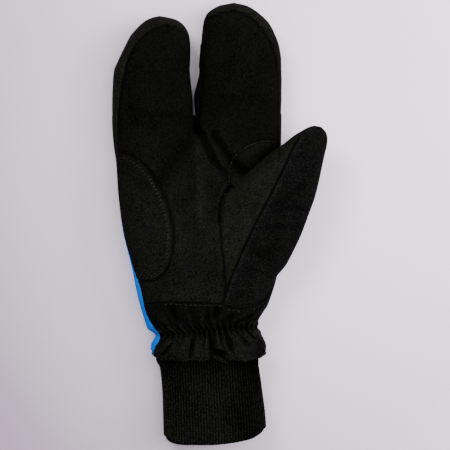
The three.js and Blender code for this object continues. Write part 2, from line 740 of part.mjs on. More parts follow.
// The loop, an arch of tape whose feet stand on the cuff
function hangLoop() {
  const foot = cuffDepth - loopTape / 2;
  const rise = cuffDepth - foot;
  const arch = new THREE.Shape();
  arch.absellipse(0, 0, loopWidth / 2, rise + loopHeight, 0, Math.PI, false);
  arch.lineTo(-loopWidth / 2 + loopThickness, 0);
  arch.absellipse(0, 0, loopWidth / 2 - loopThickness, rise + loopHeight - loopThickness,
    Math.PI, 0, true);
  const geometry = new THREE.ExtrudeGeometry(arch, {
    depth: loopTape, bevelEnabled: false, curveSegments: 12,
  });
  geometry.rotateX(Math.PI / 2).translate(loopAcross, -hemLength + hemNotch, foot);
  return solidOf(geometry).subtract(cuffSolid(seamGap + ribHeight, 80, false, 0));
}

// Cloths
function cloth(color, roughness) {
  return new THREE.MeshStandardMaterial({ color, roughness, metalness: 0 });
}

const brushedPalm = cloth(0x1c1b19, 0.95);
const wovenBlack = cloth(0x17171a, 0.85);
const terry = cloth(0x1d1e20, 1.0);
const blueShell = cloth(0x0a78c8, 0.7);
const ribKnit = cloth(0x161616, 0.95);
const tape = cloth(0x121212, 0.8);

const back = backOfHand();
const pieces = [
  ['palm_panel', palmPanel(), brushedPalm],
  ['finger_back', back.subtract(prism(blueLine, half)), wovenBlack],
  ['back_panel', back.intersect(prism(blueLine, -half)), blueShell],
  ['finger_fourchette', fourchette(), wovenBlack],
  ['thumb_palm_panel', thumbPalmPanel(), brushedPalm],
  ['thumb_terry_panel', terryPanel(), terry],
  ['heel_patch', heelPatch(), brushedPalm],
  ['thumb_crotch_patch', crotchPatch(), brushedPalm],
  ['wrist_skirt', wristSkirt(), wovenBlack],
  ['rib_cuff', ribCuff(), ribKnit],
  ['hang_loop', hangLoop(), tape],
];

const mitt = new THREE.Group();
for (const [name, solid, material] of pieces) {
  const mesh = new THREE.Mesh(geometryOf(solid), material);
  mesh.name = name;
  mitt.add(mesh);
}
const box = new THREE.Box3().setFromObject(mitt);
const middle = box.getCenter(new THREE.Vector3());
mitt.position.set(-middle.x, -middle.y, -box.min.z);

export default mitt;
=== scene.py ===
# %% [markdown]
# # A lobster claw mitt, lying on its back
# A lobster claw mitt is a padded winter mitt with two finger pouches and a thumb. This one
# lies on the back of the hand with its palm up: brushed black palm, rough terry along the
# thumb, a blue back that shows at the side, an elastic-gathered wrist and a long rib cuff.
# The notebook loads the solids, then dresses each of them with its own cloth.

# %% Load the solids
import math
import bmesh
import bpy
import numpy as np
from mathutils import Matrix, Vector


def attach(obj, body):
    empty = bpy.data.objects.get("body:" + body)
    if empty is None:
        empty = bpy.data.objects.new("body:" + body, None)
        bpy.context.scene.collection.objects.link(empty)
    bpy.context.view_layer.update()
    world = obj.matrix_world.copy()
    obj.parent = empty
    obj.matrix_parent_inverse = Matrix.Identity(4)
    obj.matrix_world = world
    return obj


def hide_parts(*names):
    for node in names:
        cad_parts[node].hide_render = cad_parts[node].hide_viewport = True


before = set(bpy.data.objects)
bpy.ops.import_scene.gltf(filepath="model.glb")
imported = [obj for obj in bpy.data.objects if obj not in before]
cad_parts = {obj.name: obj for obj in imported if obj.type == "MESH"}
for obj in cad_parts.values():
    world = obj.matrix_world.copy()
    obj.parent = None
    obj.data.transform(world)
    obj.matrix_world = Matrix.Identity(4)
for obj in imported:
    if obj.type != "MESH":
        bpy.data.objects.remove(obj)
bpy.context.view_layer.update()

MM = 0.001
SHIFT = np.array([-7.962, -69.948, 0.0])   # from the middle of the wrist to the frame's origin


def glide(x, xs, ys):
    """Smooth curve through the points (xs, ys): a cubic between neighbours whose slope at a
    point is the harmonic mean of the two chords beside it, and 0 where they change sign."""
    xs, ys = np.asarray(xs, float), np.asarray(ys, float)
    step = np.diff(xs)
    chord = np.diff(ys) / step
    slope = np.concatenate([chord[:1], np.zeros(len(xs) - 2), chord[-1:]])
    same = chord[:-1] * chord[1:]
    sums = np.where(same > 0, chord[:-1] + chord[1:], 1.0)
    slope[1:-1] = np.where(same > 0, 2 * same / sums, 0.0)
    x = np.clip(x, xs[0], xs[-1])
    i = np.clip(np.searchsorted(xs, x, side="right") - 1, 0, len(step) - 1)
    t = (x - xs[i]) / step[i]
    return ((1 + 2 * t) * (1 - t) ** 2 * ys[i] + t * (1 - t) ** 2 * step[i] * slope[i]
            + t * t * (3 - 2 * t) * ys[i + 1] + t * t * (t - 1) * step[i] * slope[i + 1])


def ramp(x, low, high):
    """0 below low, 1 above high, and a smooth S between: t squared times (3 - 2 t)."""
    t = np.clip((x - low) / (high - low), 0, 1)
    return t * t * (3 - 2 * t)


def bell(x, width):
    """Bell curve: e to the minus (x / width) squared."""
    return np.exp(-(x / width) ** 2)


def distance_to(line, x, y):
    """Distance from every (x, y) to a line of points, and how far along the line the
    nearest point lies: the least over its straight pieces."""
    line = np.asarray(line, float)
    best = np.full(np.shape(x), np.inf)
    place = np.zeros(np.shape(x))
    walked = 0.0
    for start, end in zip(line[:-1], line[1:]):
        step = end - start
        length = np.hypot(*step)
        share = np.clip(((x - start[0]) * step[0] + (y - start[1]) * step[1]) / length**2, 0, 1)
        away = np.hypot(x - start[0] - share * step[0], y - start[1] - share * step[1])
        nearer = away < best
        best = np.where(nearer, away, best)
        place = np.where(nearer, walked + share * length, place)
        walked += length
    return best, place


def softer(a, b, reach):
    """The larger of a and b, with a fillet where they are closer than reach."""
    near = np.clip(reach - np.abs(a - b), 0, None) / reach
    return np.maximum(a, b) + near * near * reach / 4


def walk(points):
    """Length walked from the first point of a line to each of its points."""
    steps = np.linalg.norm(np.diff(np.asarray(points, float), axis=0), axis=1)
    return np.concatenate([[0], np.cumsum(steps)])


def x_of(line, y):
    """x of a line of points at every y."""
    line = np.asarray(line, float)
    return np.interp(y, line[:, 1], line[:, 0])


def y_of(line, x):
    """y of a line of points at every x."""
    line = np.asarray(line, float)
    return np.interp(x, line[:, 0], line[:, 1])


# %% [markdown]
# ## The skin of the mitt
# The mitt is padded cloth over a hand, so its shape is a few soft tubes that melt into each
# other. It could be sculpted, or swollen by a cloth simulation, but the seams have to run
# where the real ones do. So the skin is a formula: each tube is a row of ovals, an oval is
# left, right, low and high, and the height of the palm side is the largest of the tubes.

# %% Ovals of the hand, the pouches and the thumb
SEAM = 15.0          # height of the widest line of the hand
POUCH_SEAM = 14.5
ROUND, FLAT = 2.6, 3.4   # squareness of the palm side and of the back that the mitt lies on
SINK = 40                # how far a tube drops where it ends, so that it loses to the others
HAND = np.array([    # y, tilt, left, right, low, high
    [-19.6, 0, -35.6, 37.5, 1.0, 33.0], [-16.5, 0.01, -36.0, 37.9, 0.3, 34.0],
    [-12.2, 0.02, -36.8, 38.6, 0.0, 34.7], [-7.3, 0.04, -36.4, 37.3, 0.0, 34.0],
    [-3.3, 0.06, -34.5, 34.9, 1.0, 32.3], [0, 0.08, -33.0, 33.0, 1.9, 31.0],
    [4.0, 0.06, -38.5, 33.2, 1.1, 32.2], [10.8, 0.03, -41.5, 36.5, 0.0, 34.0],
    [18, 0, -44.0, 40.2, -1.0, 35.2], [39.9, 0, -49.0, 46.2, -1.0, 37.0],
    [66, 0, -55.0, 47.7, -1.0, 37.0], [92, 0, -58.1, 47.7, -1.0, 35.5],
    [111, 0, -59.4, 48.0, -1.0, 33.3], [122.2, 0, -61.0, 48.3, -0.9, 31.5],
    [132.1, 0, -61.8, 48.6, 0.0, 29.6], [137.7, 0, -62.0, 48.7, 1.1, 27.8],
    [141, 0, -62.0, 48.8, 5.9, 22.2]])
RING = np.array([    # y, middle, half width, low, high
    [110.3, -35.0, 25.0, 3.4, 25.2], [142, -35.4, 26.5, 0.3, 28.0],
    [168.7, -36.1, 24.9, 0.0, 27.4], [178.2, -34.1, 23.2, 0.6, 26.9],
    [186.5, -32.1, 21.2, 1.4, 26.0], [192.8, -30.8, 19.2, 2.2, 24.9],
    [198.5, -29.6, 15.4, 4.2, 23.0], [201.1, -29.4, 12.8, 5.6, 21.8],
    [203.3, -29.5, 9.4, 7.8, 19.9], [204.7, -30.3, 5.4, 10.4, 17.6],
    [205.5, -30.8, 1.2, 12.9, 15.4]])
INDEX = np.array([
    [109.6, 19.1, 24.9, 3.4, 25.2], [142, 20.4, 27.9, 0.3, 28.0],
    [153.5, 20.4, 28.3, 0.0, 28.0], [168.6, 21.8, 26.9, 0.0, 27.7],
    [178, 21.8, 26.6, 0.3, 27.2], [186.6, 21.5, 25.5, 0.8, 26.6],
    [194.6, 20.4, 23.6, 1.7, 25.8], [201, 19.1, 21.5, 2.5, 24.6],
    [205, 17.9, 19.0, 3.6, 23.5], [207.7, 17.1, 16.6, 4.8, 22.4],
    [210.3, 17.0, 13.1, 6.4, 21.0], [212.3, 17.0, 9.4, 8.4, 19.3],
    [213.4, 17.3, 5.3, 10.6, 17.4], [214.1, 17.5, 1.3, 12.9, 15.4]])
THUMB = np.array([   # along the thumb, middle, half width, height of the middle, half depth
    [-12.8, -3.2, 18.4, 18.2, 9.9], [0, -5.4, 25.4, 19.8, 13.9],
    [11.8, -6.5, 28.6, 22.1, 16.2], [24.7, -6.5, 28.4, 24.4, 16.8],
    [35.5, -6.4, 27.4, 26.1, 16.5], [46.4, -5.1, 24.7, 27.1, 16.0],
    [56.3, -3.7, 22.0, 27.6, 15.3], [68.1, -2.7, 18.2, 28.1, 14.4],
    [78, -1.6, 14.3, 28.4, 13.0], [84.9, -1.0, 11.9, 28.5, 11.6],
    [90.8, 0.0, 9.4, 28.7, 9.6], [95.2, 0.4, 6.8, 28.9, 7.1],
    [97.7, 0.5, 4.1, 29.0, 4.3], [98.7, 0.5, 1.1, 29.0, 1.3]])
THUMB_ROOT = np.array([27.8, 45.2])
THUMB_TURN = math.radians(27.4)
COS, SIN = math.cos(THUMB_TURN), math.sin(THUMB_TURN)


def column(table, y, number):
    """One column of a table of ovals, gliding between its rows."""
    return glide(y, table[:, 0], table[:, number])


def rim(table, y, side):
    """Left (side -1) or right (side 1) end of an oval given by its middle and half width."""
    return column(table, y, 1) + side * column(table, y, 2)


def into_thumb(x, y):
    """Turns (x, y) into (across, along) the thumb."""
    dx, dy = x - THUMB_ROOT[0], y - THUMB_ROOT[1]
    return dx * COS - dy * SIN, dx * SIN + dy * COS


def from_thumb(a, b):
    """The inverse turn, from (across, along) the thumb back to (x, y)."""
    return THUMB_ROOT[0] + a * COS + b * SIN, THUMB_ROOT[1] - a * SIN + b * COS


def arch(side, squareness):
    """Height of an oval above its widest line: (1 - |side|^n)^0.45, 0 outside it."""
    return np.clip(1 - np.abs(side) ** squareness, 0, None) ** 0.45


def oval(table, y, x):
    """Where x lies across an oval, -1 to 1 between its edges."""
    return (x - column(table, y, 1)) / column(table, y, 2)


def hand_side(x, y):
    left, right = column(HAND, y, 2), column(HAND, y, 3)
    return (x - (left + right) / 2) / ((right - left) / 2)


def palm_height(x, y):
    """Palm side of the hand and both pouches: each is its widest line plus its arch, sunk
    where it ends, and the largest of them counts, with a fillet between."""
    height = SEAM + (column(HAND, y, 5) - SEAM) * arch(hand_side(x, y), ROUND)
    height = height - SINK * np.clip((y - 140.5) / 5, 0, 1)
    for table in (RING, INDEX):
        pouch = POUCH_SEAM + (column(table, y, 4) - POUCH_SEAM) * arch(oval(table, y, x), ROUND)
        root = table[0, 0] + 4
        height = softer(height, pouch - SINK * np.clip((root - y) / 10, 0, 1), 3.0)
    return height


def back_height(x, y):
    """Underside, the same with the arches hanging down, flat where the mitt lies."""
    hand = SEAM - (SEAM - column(HAND, y, 4)) * arch(hand_side(x, y), FLAT)
    depth = -hand - SINK * np.clip((y - 139) / 6, 0, 1)
    for table in (RING, INDEX):
        pouch = POUCH_SEAM - (POUCH_SEAM - column(table, y, 3)) * arch(oval(table, y, x), FLAT)
        root = table[0, 0] + 4
        depth = softer(depth, -pouch - SINK * np.clip((root - y) / 10, 0, 1), 3.0)
    return np.maximum(-depth, 0.05)


def thumb_height(a, b):
    """Palm side of the thumb alone, sunk below its root and outside its oval."""
    side = oval(THUMB, b, a)
    height = column(THUMB, b, 3) + column(THUMB, b, 4) * arch(side, ROUND)
    return height - 60.0 * (np.abs(side) > 1) - SINK * np.clip((-b - 2) / 8, 0, 1)


# %% [markdown]
# ## Folds, seams and creases
# A mitt that has been sewn flat and then filled with a hand has folds that start where the
# cloth is held: at the slot between the pouches, at the root of the thumb and along seams.
# Each fold is a line with a depth and a width, pressed in as a bell curve. A seam is the
# same with a small width, and the cloth stands up a little on both sides of it.

# %% Folds of the palm and seam lines
FOLDS = [   # depth, width, points
    (4.6, 2.0, [(-7.6, 146), (-7.2, 137), (-6.2, 130)]),
    (3.0, 1.9, [(-5.4, 131), (-0.4, 119.6), (4.8, 108.8), (10.4, 103.0), (13.0, 99)]),
    (3.6, 2.6, [(4.2, 127), (8.2, 121), (14.6, 111.5), (22.2, 105), (28, 102)]),
    (2.6, 4.4, [(18, 104), (26, 105), (36, 111), (44, 118)]),
    (3.4, 6.0, [(-9.5, 130), (-17, 119), (-24.8, 109), (-30.7, 100)]),
    (-2.2, 3.6, [(-7.2, 128), (-6.6, 112), (-5.0, 92), (-4.8, 70)]),
    (-2.4, 1.8, [(-2.6, 132), (1.2, 127), (7.0, 114.6), (10.6, 107)]),
    (1.8, 6.0, [(2, 96), (4, 84), (3, 72)]),
    (1.3, 9.0, [(-30, 33), (-12, 40), (4, 34)]),
    (1.2, 7.0, [(-50, 140), (-30, 133), (-16, 140)]),
    (1.0, 7.0, [(10, 142), (26, 150), (42, 147)]),
    (1.0, 8.0, [(8, 172), (28, 166), (40, 172)]),
    (1.0, 8.0, [(-48, 165), (-30, 158), (-18, 163)]),
]
GUSSET = [(10.4, 18.5), (12.4, 29.8), (11.0, 41.2), (9.3, 56.2), (8.2, 71), (9.0, 81.6),
          (11.8, 90.2), (14.8, 95.4)]
TERRY_SEAM_THUMB = [(-3.1, -31.7), (-5.2, -24.0), (-6.2, -16.8), (-7.6, 2.0), (-8.5, 21.7),
                    (-8.5, 44.4), (-8.8, 65.1), (-9.6, 79.0), (-8.6, 90.0), (-5.2, 96.4)]
TERRY_SEAM = [tuple(float(v) for v in from_thumb(a, b)) for a, b in TERRY_SEAM_THUMB]
LEFT_SEAM = [(-40.8, 18), (-41.6, 21), (-43.2, 28.7), (-45.0, 33.3), (-47.7, 41.1),
             (-49.8, 49), (-52.4, 56.8), (-54.2, 64.6), (-55.6, 72), (-56.6, 80), (-57.2, 92),
             (-57.6, 108), (-58.0, 124), (-57.6, 142), (-56.6, 152), (-55.4, 160),
             (-53.5, 167.2), (-52.2, 173.7), (-50.8, 177.8), (-48.3, 182.8), (-45.6, 187.4),
             (-41.9, 191.3), (-37.9, 194.8), (-33.6, 197.2), (-30.0, 198.5), (-26.0, 199.2)]
LEFT_TIP = [(-26.0, 199.2), (-21.5, 198.5), (-17.6, 196.6), (-14.2, 193.6), (-12.2, 190.5)]
RIGHT_TIP = [(-2.6, 200.0), (0.0, 203.7), (5.2, 205.4), (10.4, 207.5), (16.0, 208.4)]
RIGHT_SEAM = [(46.4, 112), (45.8, 125), (46.0, 140), (46.2, 158), (45.6, 168), (44.6, 177),
              (42.6, 184), (40.2, 189.5), (36.8, 194.6), (34.0, 198.2), (30.4, 202),
              (26.8, 204.8), (23.0, 207), (19.6, 208.1), (16.0, 208.4)]
PALM_HEM = [(-44, 17.4), (-36, 18.3), (-30.8, 19.4), (-22, 19.8), (-14.3, 19.2), (2.2, 19.0),
            (10.4, 18.5)]
TERRY_HEM = [(10.4, 18.5), (13.8, 16.3), (22, 14.6), (30.8, 16.4), (37.4, 21.3),
             (42.9, 29.8), (46.4, 36.5)]
HEEL_MIDDLE = np.array([-47.7, 74.1])
HEEL_HALF = np.array([23.0, 42.5])
HEEL_TURN = math.radians(17.5)
CROTCH_EDGE = [(44.5, 122.8), (39.6, 123.6), (32, 122.3), (26, 119.6), (21, 116), (17.2, 112),
               (15.4, 107.5), (14.6, 102), (15.2, 95)]


def heel_oval(turn, across, along):
    """Points of an oval with its long axis leaning left, from its two half lengths."""
    p, q = across * np.cos(turn), along * np.sin(turn)
    return (HEEL_MIDDLE[0] + p * math.cos(HEEL_TURN) - q * math.sin(HEEL_TURN),
            HEEL_MIDDLE[1] + p * math.sin(HEEL_TURN) + q * math.cos(HEEL_TURN))


def heel_outline(inset, count=150):
    """The sewn part of the patch's edge, from seam to seam, moved in by inset."""
    turn = np.linspace(-0.74, 0.62, count) * math.pi
    return np.stack(heel_oval(turn, *(HEEL_HALF - inset)), -1)


SEAMS = [   # depth, width, points
    (1.8, 0.65, heel_outline(-0.7, count=50)), (0.6, 0.8, CROTCH_EDGE),
    (1.6, 0.75, GUSSET), (2.4, 1.2, GUSSET[4:]), (1.8, 0.8, TERRY_SEAM),
    (1.3, 0.9, LEFT_SEAM), (1.3, 0.9, LEFT_TIP), (1.3, 0.9, RIGHT_TIP),
    (1.3, 0.9, RIGHT_SEAM), (0.4, 0.9, PALM_HEM), (1.0, 0.9, TERRY_HEM),
]
STITCH = 3.2                # length of a stitch of the seams
DARTS = [[(-22.2, 198.6), (-22.2, 203.6)], [(11.8, 208.2), (11.8, 212.8)]]
CREASES = [   # across the terry: depth, width, points
    (1.6, 1.6, [(44.4, 82.2), (50.9, 86.5), (61.4, 94.3)]),
    (1.7, 1.7, [(42.5, 77), (49.7, 79), (56, 79.7), (64, 78.4)]),
    (1.3, 2.0, [(36, 66), (46.4, 67.3), (60, 67.9)]),
    (1.2, 2.4, [(34, 50), (42, 53), (54, 52)]),
    (1.0, 2.4, [(38, 95), (48, 101), (56, 110)]),
]


def ripple(x, y, waves, seed):
    """Sum of long sine waves with directions, lengths and phases drawn from a fixed seed:
    the slight unevenness of padding under cloth."""
    draw = np.random.default_rng(seed)
    total = np.zeros(np.shape(x))
    for length, size in waves:
        for _ in range(3):
            turn, phase = draw.uniform(0, 2 * math.pi, 2)
            stretch = draw.uniform(0.8, 1.25)
            wave = (x * math.cos(turn) + y * math.sin(turn)) * 2 * math.pi / (length * stretch)
            total = total + size / 3 * np.sin(wave + phase)
    return total


def pressed(height, x, y, folds, base):
    """Lowers a surface by each fold's bell, but never below a fifth of its height."""
    depth = np.zeros(np.shape(x))
    for deep, width, line in folds:
        depth = depth + deep * bell(distance_to(line, x, y)[0], width)
    share = np.clip((height - base) / 12, 0, 1)
    return np.maximum(height - depth * share, base + 0.2 * (height - base))


def sewn(height, x, y, base=SEAM):
    """Presses the seams in, the deepest where two meet. Beside a seam the cloth swells a
    little, and the thread draws it in at every stitch."""
    share = np.clip((height - base) / 4, 0.25, 1)
    groove, swell = np.zeros(np.shape(x)), np.zeros(np.shape(x))
    for deep, width, line in SEAMS:
        away, place = distance_to(line, x, y)
        pinch = 1 + 0.12 * np.sin(place * 2 * math.pi / STITCH)
        groove = np.maximum(groove, deep * pinch * bell(away, width))
        swell = np.maximum(swell, 0.35 * bell(away - 3.2, 1.8))
    for line in DARTS:
        groove = np.maximum(groove, bell(distance_to(line, x, y)[0], 0.5))
    return height + share * (swell - groove)


def palm_skin(x, y):
    """The finished palm side: tubes, then folds, then ripples, then seams."""
    height = pressed(palm_height(x, y), x, y, FOLDS, SEAM)
    share = np.clip((height - SEAM) / 10, 0, 1)
    height = height + share * ripple(x, y, [(46, 0.6), (23, 0.6), (11, 0.25)], 3)
    return sewn(height, x, y)


WEB = 43                    # beyond this, along the thumb, it stands alone


def thumb_and_palm(a, b, palm):
    """The thumb melted into the palm, which sinks away toward the web."""
    return softer(thumb_height(a, b), palm - 45 * ramp(b, 31, WEB), 4.0)


def thumb_skin(a, b):
    """The finished thumb: it grows out of the folded palm, has its own creases and ripples,
    and beyond the web it ends at its widest line."""
    x, y = from_thumb(a, b)
    middle = column(THUMB, b, 3)
    height = thumb_and_palm(a, b, pressed(palm_height(x, y), x, y, FOLDS, SEAM))
    height = np.where(b > WEB, np.maximum(height, middle), height)
    height = pressed(height, x, y, CREASES, middle)
    share = np.clip((height - middle) / 8, 0, 1)
    height = height + share * ripple(x, y, [(34, 0.5), (15, 0.35), (8, 0.15)], 8)
    return sewn(height, x, y, 19)


# %% [markdown]
# ## From formula to cloth
# A panel is a grid of points between two seam lines. Its rows climb the hand and its columns
# crowd together toward the edges, where the cloth turns down and the curve is tightest.
# A thin wall is then grown inward, as cloth has two faces.

# %% Grids
def crowd(count, both=True):
    """Shares from 0 to 1 that crowd at both ends, (1 - cos) / 2, or only at the far end."""
    t = np.linspace(0, 1, count)
    return (1 - np.cos(math.pi * t)) / 2 if both else np.sin(math.pi / 2 * t)


def rows_between(low, high, count, tight=0.35):
    """Row heights, even in the middle and closer together toward both ends."""
    t = np.linspace(0, 1, count)
    return low + (high - low) * ((1 - tight) * t + tight * (1 - np.cos(math.pi * t)) / 2)


def grid_piece(name, points, flip=False, closed=False, weld=1e-5):
    """A mesh piece from a grid of points, rows by columns by 3, in mm. Neighbours make
    quads; points closer than weld become one. Its UV map holds the cloth's own metres:
    lengths walked across the middle row and up the middle column."""
    if closed:
        points = np.concatenate([points, points[:, :1]], axis=1)
    rows, columns = points.shape[:2]
    index = np.arange(rows * columns).reshape(rows, columns)
    quads = np.stack([index[:-1, :-1], index[:-1, 1:], index[1:, 1:], index[1:, :-1]], -1)
    quads = quads.reshape(-1, 4)[:, ::-1 if flip else 1]
    mesh = bpy.data.meshes.new(name)
    mesh.from_pydata(((points.reshape(-1, 3) + SHIFT) * MM).tolist(), [], quads.tolist())
    u, v = np.meshgrid(walk(points[rows // 2]), walk(points[:, columns // 2]))
    uv = np.stack([u.ravel(), v.ravel()], -1)[quads.ravel()] * MM
    mesh.uv_layers.new(name="cloth").data.foreach_set("uv", uv.astype(np.float32).ravel())
    tidy_mesh(mesh, weld)
    return shown(name, mesh)


def shown(name, mesh):
    """Puts a mesh into the scene, smoothly shaded."""
    mesh.polygons.foreach_set("use_smooth", np.ones(len(mesh.polygons), bool))
    piece = bpy.data.objects.new(name, mesh)
    bpy.context.collection.objects.link(piece)
    return piece


def tidy_mesh(mesh, weld):
    """Merges points closer than weld metres, which also drops quads that have no area."""
    work = bmesh.new()
    work.from_mesh(mesh)
    bmesh.ops.remove_doubles(work, verts=work.verts, dist=weld)
    bmesh.ops.dissolve_degenerate(work, edges=work.edges, dist=1e-7)
    work.to_mesh(mesh)
    work.free()
    mesh.update()


def joined(name, parts):
    """Joins mesh pieces into one object."""
    bpy.ops.object.select_all(action="DESELECT")
    for part in parts:
        part.select_set(True)
    bpy.context.view_layer.objects.active = parts[0]
    bpy.ops.object.join()
    piece = parts[0]
    piece.name = name
    piece.data.name = name
    return piece


def counted(piece):
    print(f"{piece.name}: {len(piece.data.polygons)} faces")
    return piece


# %% [markdown]
# ## The palm panel
# One piece of brushed microfibre runs from the wrist seam into both pouches. It is drawn as
# two grids that share the line below the slot, because one grid can't fork. The right grid
# follows the gusset seam up, then passes under the thumb to the side of the hand.

# %% Palm panel
MIDLINE = -7.6              # where the two grids meet
SLOT = 141.0                # the end of the slot
HEM = 18.5                  # where the palm meets the wrist piece
SLOT_EDGE = [(MIDLINE, 133), (-6.4, 136), (-5.2, 140), (-4.2, 147), (-3.4, 157), (-2.8, 168),
             (-2.7, 178), (-2.6, 200)]


def ring_inner(y):
    """Right edge of the ring pouch above the slot, and the line below it."""
    return np.where(y < SLOT, MIDLINE, np.minimum(rim(RING, y, 1), MIDLINE))


def ring_seam(y):
    return np.where(y > 190.5, x_of(LEFT_TIP[::-1], y), ring_inner(y))


def index_inner(y):
    """Where the palm meets the lining of the slot on the index pouch."""
    return np.where(y < 133, MIDLINE, x_of(SLOT_EDGE, y))


def index_seam(y):
    return np.where(y > 200, x_of(RIGHT_TIP, y), index_inner(y))


def palm_grid(name, left_of, right_of, high, rows, columns):
    """Rows up to the slot are the same in both grids, so that they meet point to point. The
    first ones bend to the curved hem and let go of it some 25 mm higher."""
    climb = 0.8 * math.pi / 2
    shared = HEM + (SLOT - HEM) * np.sin(np.linspace(0, climb, 150)) / math.sin(climb)
    above = SLOT + (high - SLOT) * np.sin(np.linspace(0, math.pi / 2, rows + 1)[1:])
    y = np.concatenate([shared, above])[:, None]
    left, right = left_of(y), right_of(y)
    x = left + (right - left) * crowd(columns)[None, :]
    y = y + (y_of(PALM_HEM, x) - HEM) * np.exp(-np.clip(y - HEM, 0, None) / 8)
    return grid_piece(name, np.stack([x, y, palm_skin(x, y)], -1))


left_palm = palm_grid("palm_left", lambda y: x_of(LEFT_SEAM, y), ring_seam, 199.2, 90, 84)
RIGHT_OF_PALM = GUSSET + [(30, 99.5), (46.8, 104)] + RIGHT_SEAM
right_palm = palm_grid("palm_right", index_seam, lambda y: x_of(RIGHT_OF_PALM, y),
                       208.4, 100, 84)
palm = joined("palm_panel_cloth", [left_palm, right_palm])
tidy_mesh(palm.data, 2e-5)
counted(palm)

# %% [markdown]
# ## The backs of the pouches
# The black back wraps over the edges and tips, where it shows as a rim beside the palm seam.
# Every row starts at the palm seam, runs out over the edge, across underneath and up again,
# so rim and back are one cloth without a crack.

# %% Finger back
BACK_SEAM = [(-77, 68), (-55, 71), (-33, 83), (0, 88), (27.5, 79.5), (46.2, 59.6), (60, 50)]
BACK_LOW = 71.0             # rows stop here before they bend to the seam across the back


def wrap_row(seam_left, left, right, seam_right, y, strip, across):
    """Points of rows that start at the left seam on the palm side, run to the left edge
    in strip steps, cross the underside and come up to the right seam."""
    out = crowd(strip, both=False)[None, :]
    first = seam_left + (left - seam_left) * out
    last = right + (seam_right - right) * (1 - out[:, ::-1])
    middle = left + (right - left) * crowd(across)[None, 1:-1]
    x = np.concatenate([first, middle, last], axis=1)
    y = y + 0 * x
    z = palm_skin(x, y)
    z[:, strip:-strip] = back_height(x, y)[:, strip:-strip]
    return x, y, z


def pouch_back(name, left_seam, right_seam, left_edge, right_edge, tip, apex, rows):
    """Rows from the knuckles to the tip. Beyond the apex of the palm seam they have no seam
    to start from, so they start and end at the apex's x."""
    y = np.concatenate([rows_between(BACK_LOW, tip, rows, 0.5), [tip + 0.15]])[:, None]
    left, right = left_edge(y), right_edge(y)
    middle = np.clip(apex[0], left, right)
    seam_l = np.maximum(np.where(y > apex[1], middle, left_seam(y)), left)
    seam_r = np.minimum(np.where(y > apex[1], middle, right_seam(y)), right)
    strip = 14
    x, y, z = wrap_row(seam_l, left, right, seam_r, y, strip, 60)
    moved = y + (y_of(BACK_SEAM, x) - BACK_LOW) * (1 - ramp(y, BACK_LOW, SLOT - 8))
    back = back_height(x, moved)
    z[:, strip:-strip] = back[:, strip:-strip]
    z = np.where((y < SLOT) & (np.abs(x - MIDLINE) < 0.01), back, z)
    return grid_piece(name, np.stack([x, moved, z], -1), flip=True, weld=2e-5)


def left_edge(y):
    """Left silhouette: the hand low down, the ring pouch above the slot."""
    ring = rim(RING, y, -1)
    return np.where(y < SLOT, np.minimum(column(HAND, y, 2), np.where(y > 120, ring, 99)), ring)


def right_edge(y):
    """Right silhouette: the hand low down, the index pouch above the slot."""
    index = rim(INDEX, y, 1)
    return np.where(y < SLOT, np.maximum(column(HAND, y, 3), np.where(y > 120, index, -99)),
                    index)


def index_left(y):
    return np.where(y < SLOT, MIDLINE, np.maximum(rim(INDEX, y, -1), MIDLINE))


ring_back = pouch_back("ring_back", lambda y: x_of(LEFT_SEAM, y), ring_seam,
                       left_edge, ring_inner, 205.5, (-26.0, 199.2), 150)
index_back = pouch_back(
    "index_back", lambda y: np.where(y > 184, index_seam(y), index_left(y)),
    lambda y: np.where(y < 108, right_edge(y) - 3.0, x_of(RIGHT_SEAM, y)),
    index_left, right_edge, 214.1, (16.0, 208.4), 160)
finger_back = joined("finger_back_cloth", [ring_back, index_back])
counted(finger_back)

# %% [markdown]
# ## The lining of the slot
# A strip of plain black cloth, the fourchette, lines the slot. It shows as a dark line along
# the inner edge of the index pouch, pinched once where it is caught in the seam.

# %% Fourchette
def fourchette_piece():
    """Rows along the slot. Each rises from deep inside the slot up the pouch's side, a
    quarter sine, then leans over to the palm's edge."""
    y = rows_between(131, 187, 90)[:, None]
    t = np.linspace(0, 1, 26)[None, :]
    pinch = 0.9 * bell(y - 168.5, 3.0)
    start = np.maximum(rim(INDEX, y, -1), MIDLINE - 0.4) - 0.25 + pinch
    end = index_inner(y)
    low, high = POUCH_SEAM - 9.0, palm_skin(end + 0.2, y) - 0.5
    x = start + (end + 0.8 - start) * ramp(t, 0.45, 1.0) + 0.25 * np.sin(y / 3.1) * np.sin(
        t * math.pi)
    z = low + (high - low) * np.sin(np.clip(t / 0.8, 0, 1) * math.pi / 2) ** 0.9
    return grid_piece("fourchette_cloth", np.stack([x, y + 0 * z, z], -1))


fourchette = counted(fourchette_piece())

# %% [markdown]
# ## The thumb
# The thumb has its own rows, laid along its axis: a brushed front that starts as a gusset
# over the ball of the thumb, and a rough terry panel round the outside, for wiping a nose.

# %% Thumb panels
def thumb_line(points):
    """A line in the palm's coordinates turned into the thumb's, as (across, along)."""
    return [tuple(float(v) for v in into_thumb(x, y)) for x, y in points]


GUSSET_THUMB = thumb_line(GUSSET)
GUSSET_TOP = 38.5           # where the gusset's seam reaches the silhouette
FRONT_TOP = 96.4            # the tip of the brushed panel, which the terry wraps over


def thumb_inner(b):
    """Left edge of the brushed panel: the gusset seam, then the silhouette of the thumb."""
    return np.where(b < GUSSET_TOP, x_of(GUSSET_THUMB, b), rim(THUMB, b, -1))


def thumb_outer(b):
    """Right edge of the terry: its hem on the hand, then the silhouette of the thumb."""
    hem = [(-3.1, -31.9), (1.0, -31.85), (9.1, -30.0), (16.3, -24.4), (19.5, -16.6),
           (20.4, -7.0), (20.2, 0.0)]
    return np.where(b < 0, x_of(hem, b), rim(THUMB, b, 1))


